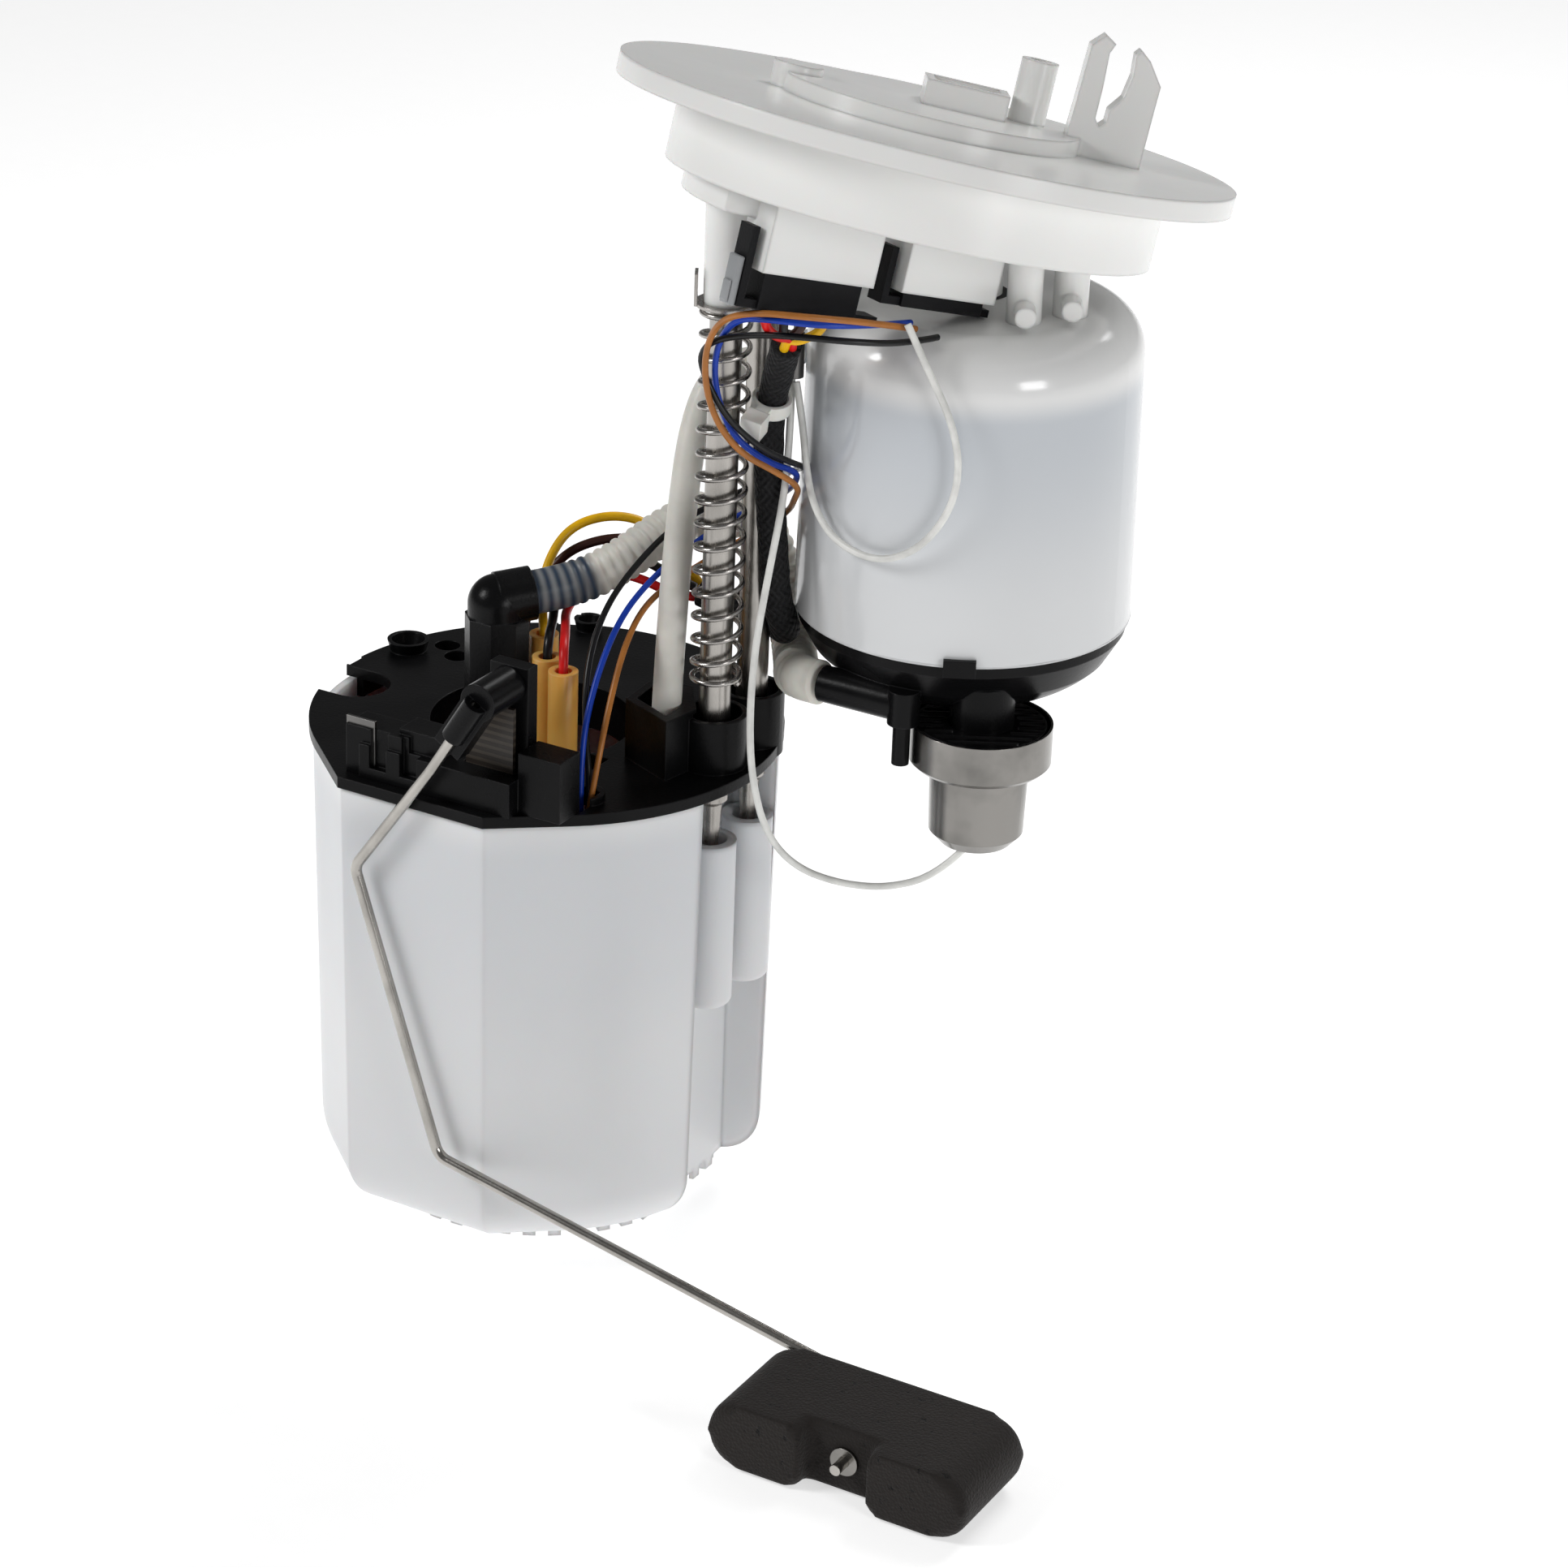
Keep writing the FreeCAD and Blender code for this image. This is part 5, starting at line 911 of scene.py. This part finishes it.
WIRE_COLOURS = {"yellow": (0.90, 0.50, 0.004), "brown": (0.045, 0.012, 0.009),
                "black": (0.006, 0.006, 0.0065), "red": (0.75, 0.012, 0.012),
                "blue": (0.004, 0.045, 0.42), "tan": (0.42, 0.155, 0.03), "white": (0.82, 0.82, 0.79)}
WIRE = {colour: insulation("wire_" + colour, tone) for colour, tone in WIRE_COLOURS.items()}
HARNESS = {
    "yellow": [(-0.055, -0.005, -0.1252), (-0.061, -0.0046, -0.12), (-0.0704, -0.0048, -0.1118),
               (-0.079, -0.0105, -0.1095), (-0.0872, -0.0173, -0.1128), (-0.0888, -0.0256, -0.121),
               (-0.085, -0.0326, -0.129), (-0.0824, -0.0356, -0.1346), (-0.0824, -0.0356, -0.139)],
    "brown": [(-0.0554, -0.005, -0.1278), (-0.0615, -0.003, -0.1236), (-0.071, -0.0066, -0.1156),
              (-0.08, -0.0132, -0.1155), (-0.0882, -0.019, -0.12), (-0.0926, -0.027, -0.131),
              (-0.0928, -0.031, -0.147), (-0.091, -0.033, -0.168)],
    "black": [(-0.055, -0.0075, -0.1252), (-0.0616, -0.0088, -0.1228), (-0.0705, -0.0108, -0.119),
              (-0.0796, -0.0166, -0.1186), (-0.0846, -0.0264, -0.1244), (-0.079, -0.0368, -0.1296),
              (-0.075, -0.0448, -0.1298), (-0.0738, -0.0476, -0.1344), (-0.0738, -0.0476, -0.139)],
    "red": [(-0.0552, -0.0075, -0.1278), (-0.0605, -0.0106, -0.127), (-0.069, -0.0132, -0.1234),
            (-0.0774, -0.0186, -0.122), (-0.0794, -0.0306, -0.1286), (-0.072, -0.042, -0.1286),
            (-0.067, -0.0506, -0.1294), (-0.0656, -0.053, -0.1342), (-0.0656, -0.053, -0.139)],
}
for colour, points in HARNESS.items():
    wire, length = wire_curve("pump_wire_" + colour, points, 0.0024, colour, "reservoir")
    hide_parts("harness_" + colour)
plug_foot = FLANGE_TILT @ Vector((-0.0062, -0.0332, -0.0430))
row_way = (FLANGE_TILT.to_3x3() @ Vector((0.515, 0.857, 0))).normalized()
for number, colour in enumerate(("red", "black", "brown", "yellow")):
    top = plug_foot + row_way * (-0.009 + 0.006 * number)
    around = Vector((math.cos(1.6 * number), math.sin(1.6 * number), 0)) * 0.0016
    braid_top = Vector(BRAID[0]) + around
    points = [top + Vector((0, 0, 0.002)), top + Vector((-0.0004, -0.0006, -0.003)),
              top.lerp(braid_top, 0.55) + Vector((-0.0006, -0.0012, -0.0022)),
              braid_top + Vector((0.0016, -0.002, 0.0026)), braid_top + Vector((-0.0012, 0.0016, -0.003))]
    wire_curve("plug_wire_" + colour, points, 0.0023, colour, "tank_head")


# Sender wires: three thin leads from the hook on the cover up to the smaller plug, in loose loops.
# They cross from the reservoir to the flange, and are built as tubes.
def thin_wire(s, length):
    return 0.0008


SENDER = {
    "blue": [(-0.0497, -0.0694, -0.163), (-0.0516, -0.067, -0.148), (-0.054, -0.0576, -0.1342),
             (-0.055, -0.0457, -0.1221), (-0.0548, -0.0328, -0.1159), (-0.0526, -0.016, -0.1108),
             (-0.046, -0.0032, -0.105), (-0.0365, -0.002, -0.099), (-0.0292, -0.0076, -0.093),
             (-0.0224, -0.0164, -0.087), (-0.0175, -0.024, -0.0805), (-0.0204, -0.0345, -0.0755),
             (-0.0266, -0.041, -0.068), (-0.0308, -0.0426, -0.057), (-0.0294, -0.0453, -0.045),
             (-0.0224, -0.0486, -0.0354), (-0.011, -0.0514, -0.0328), (0, -0.047, -0.0334),
             (0.0084, -0.0354, -0.0348), (0.0102, -0.022, -0.0375)],
    "brown": [(-0.0476, -0.0694, -0.163), (-0.047, -0.066, -0.149), (-0.0493, -0.0577, -0.1383),
              (-0.0516, -0.0477, -0.127), (-0.0534, -0.036, -0.1204), (-0.053, -0.022, -0.118),
              (-0.0465, -0.0066, -0.1126), (-0.0374, -0.002, -0.106), (-0.0296, -0.0056, -0.099),
              (-0.0234, -0.0148, -0.092), (-0.0164, -0.0248, -0.084), (-0.017, -0.0354, -0.077),
              (-0.024, -0.0428, -0.071), (-0.0296, -0.0468, -0.0604), (-0.031, -0.0482, -0.047),
              (-0.025, -0.0522, -0.0356), (-0.0136, -0.0564, -0.03), (-0.001, -0.0516, -0.0302),
              (0.009, -0.038, -0.0334), (0.013, -0.0246, -0.0378)],
    "black": [(-0.0486, -0.0677, -0.163), (-0.0489, -0.0667, -0.154), (-0.053, -0.0626, -0.145),
              (-0.0573, -0.0558, -0.131), (-0.0596, -0.0444, -0.1197), (-0.0584, -0.031, -0.1114),
              (-0.0554, -0.016, -0.1045), (-0.0465, -0.002, -0.099), (-0.0366, 0.0004, -0.094),
              (-0.0294, -0.0056, -0.0886), (-0.0198, -0.0168, -0.082), (-0.0176, -0.0276, -0.077),
              (-0.021, -0.0374, -0.071), (-0.027, -0.0444, -0.062), (-0.0324, -0.0462, -0.051),
              (-0.0326, -0.0466, -0.0465), (-0.028, -0.0481, -0.042), (-0.017, -0.0486, -0.0384),
              (-0.005, -0.0485, -0.0366), (0.006, -0.042, -0.0376), (0.0134, -0.031, -0.0396),
              (0.0166, -0.02, -0.0404)],
}
SENDER_TONES = {"blue": "blue", "brown": "tan", "black": "black"}
for colour, points in SENDER.items():
    wire, path, length = tube_piece("sender_lead_" + colour, points, thin_wire, step=0.0016, around=10)
    dressed(wire, WIRE[SENDER_TONES[colour]])
    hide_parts("sender_wire_" + colour)
    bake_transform(wire)


# Ground leads: two white wires from one crimp under the flange.
# One loops to the post, the other down to the regulator's can.
GROUND = {
    "a": [(-0.022, -0.0184, -0.06), (-0.0192, -0.0194, -0.07), (-0.0166, -0.0216, -0.0805),
          (-0.0122, -0.025, -0.0884), (-0.0041, -0.0286, -0.0942), (0.0084, -0.0308, -0.0959),
          (0.0187, -0.0297, -0.0913), (0.0258, -0.0276, -0.081), (0.028, -0.027, -0.0696),
          (0.0256, -0.0278, -0.0575), (0.0196, -0.0298, -0.0455), (0.0136, -0.03, -0.035)],
    "b": [(-0.024, -0.0172, -0.06), (-0.0222, -0.0202, -0.072), (-0.0206, -0.0248, -0.087),
          (-0.0206, -0.031, -0.1046), (-0.0204, -0.037, -0.122), (-0.0194, -0.0406, -0.14),
          (-0.0178, -0.0412, -0.156), (-0.015, -0.0382, -0.1714), (-0.0092, -0.0326, -0.1816),
          (0.0014, -0.0265, -0.1859), (0.0125, -0.0206, -0.186), (0.022, -0.0148, -0.1818),
          (0.0276, -0.011, -0.174)],
}
for end, points in GROUND.items():
    wire, length = wire_curve("ground_lead_" + end, points, 0.0018, "white", "tank_head")
    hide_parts("ground_wire_" + end)
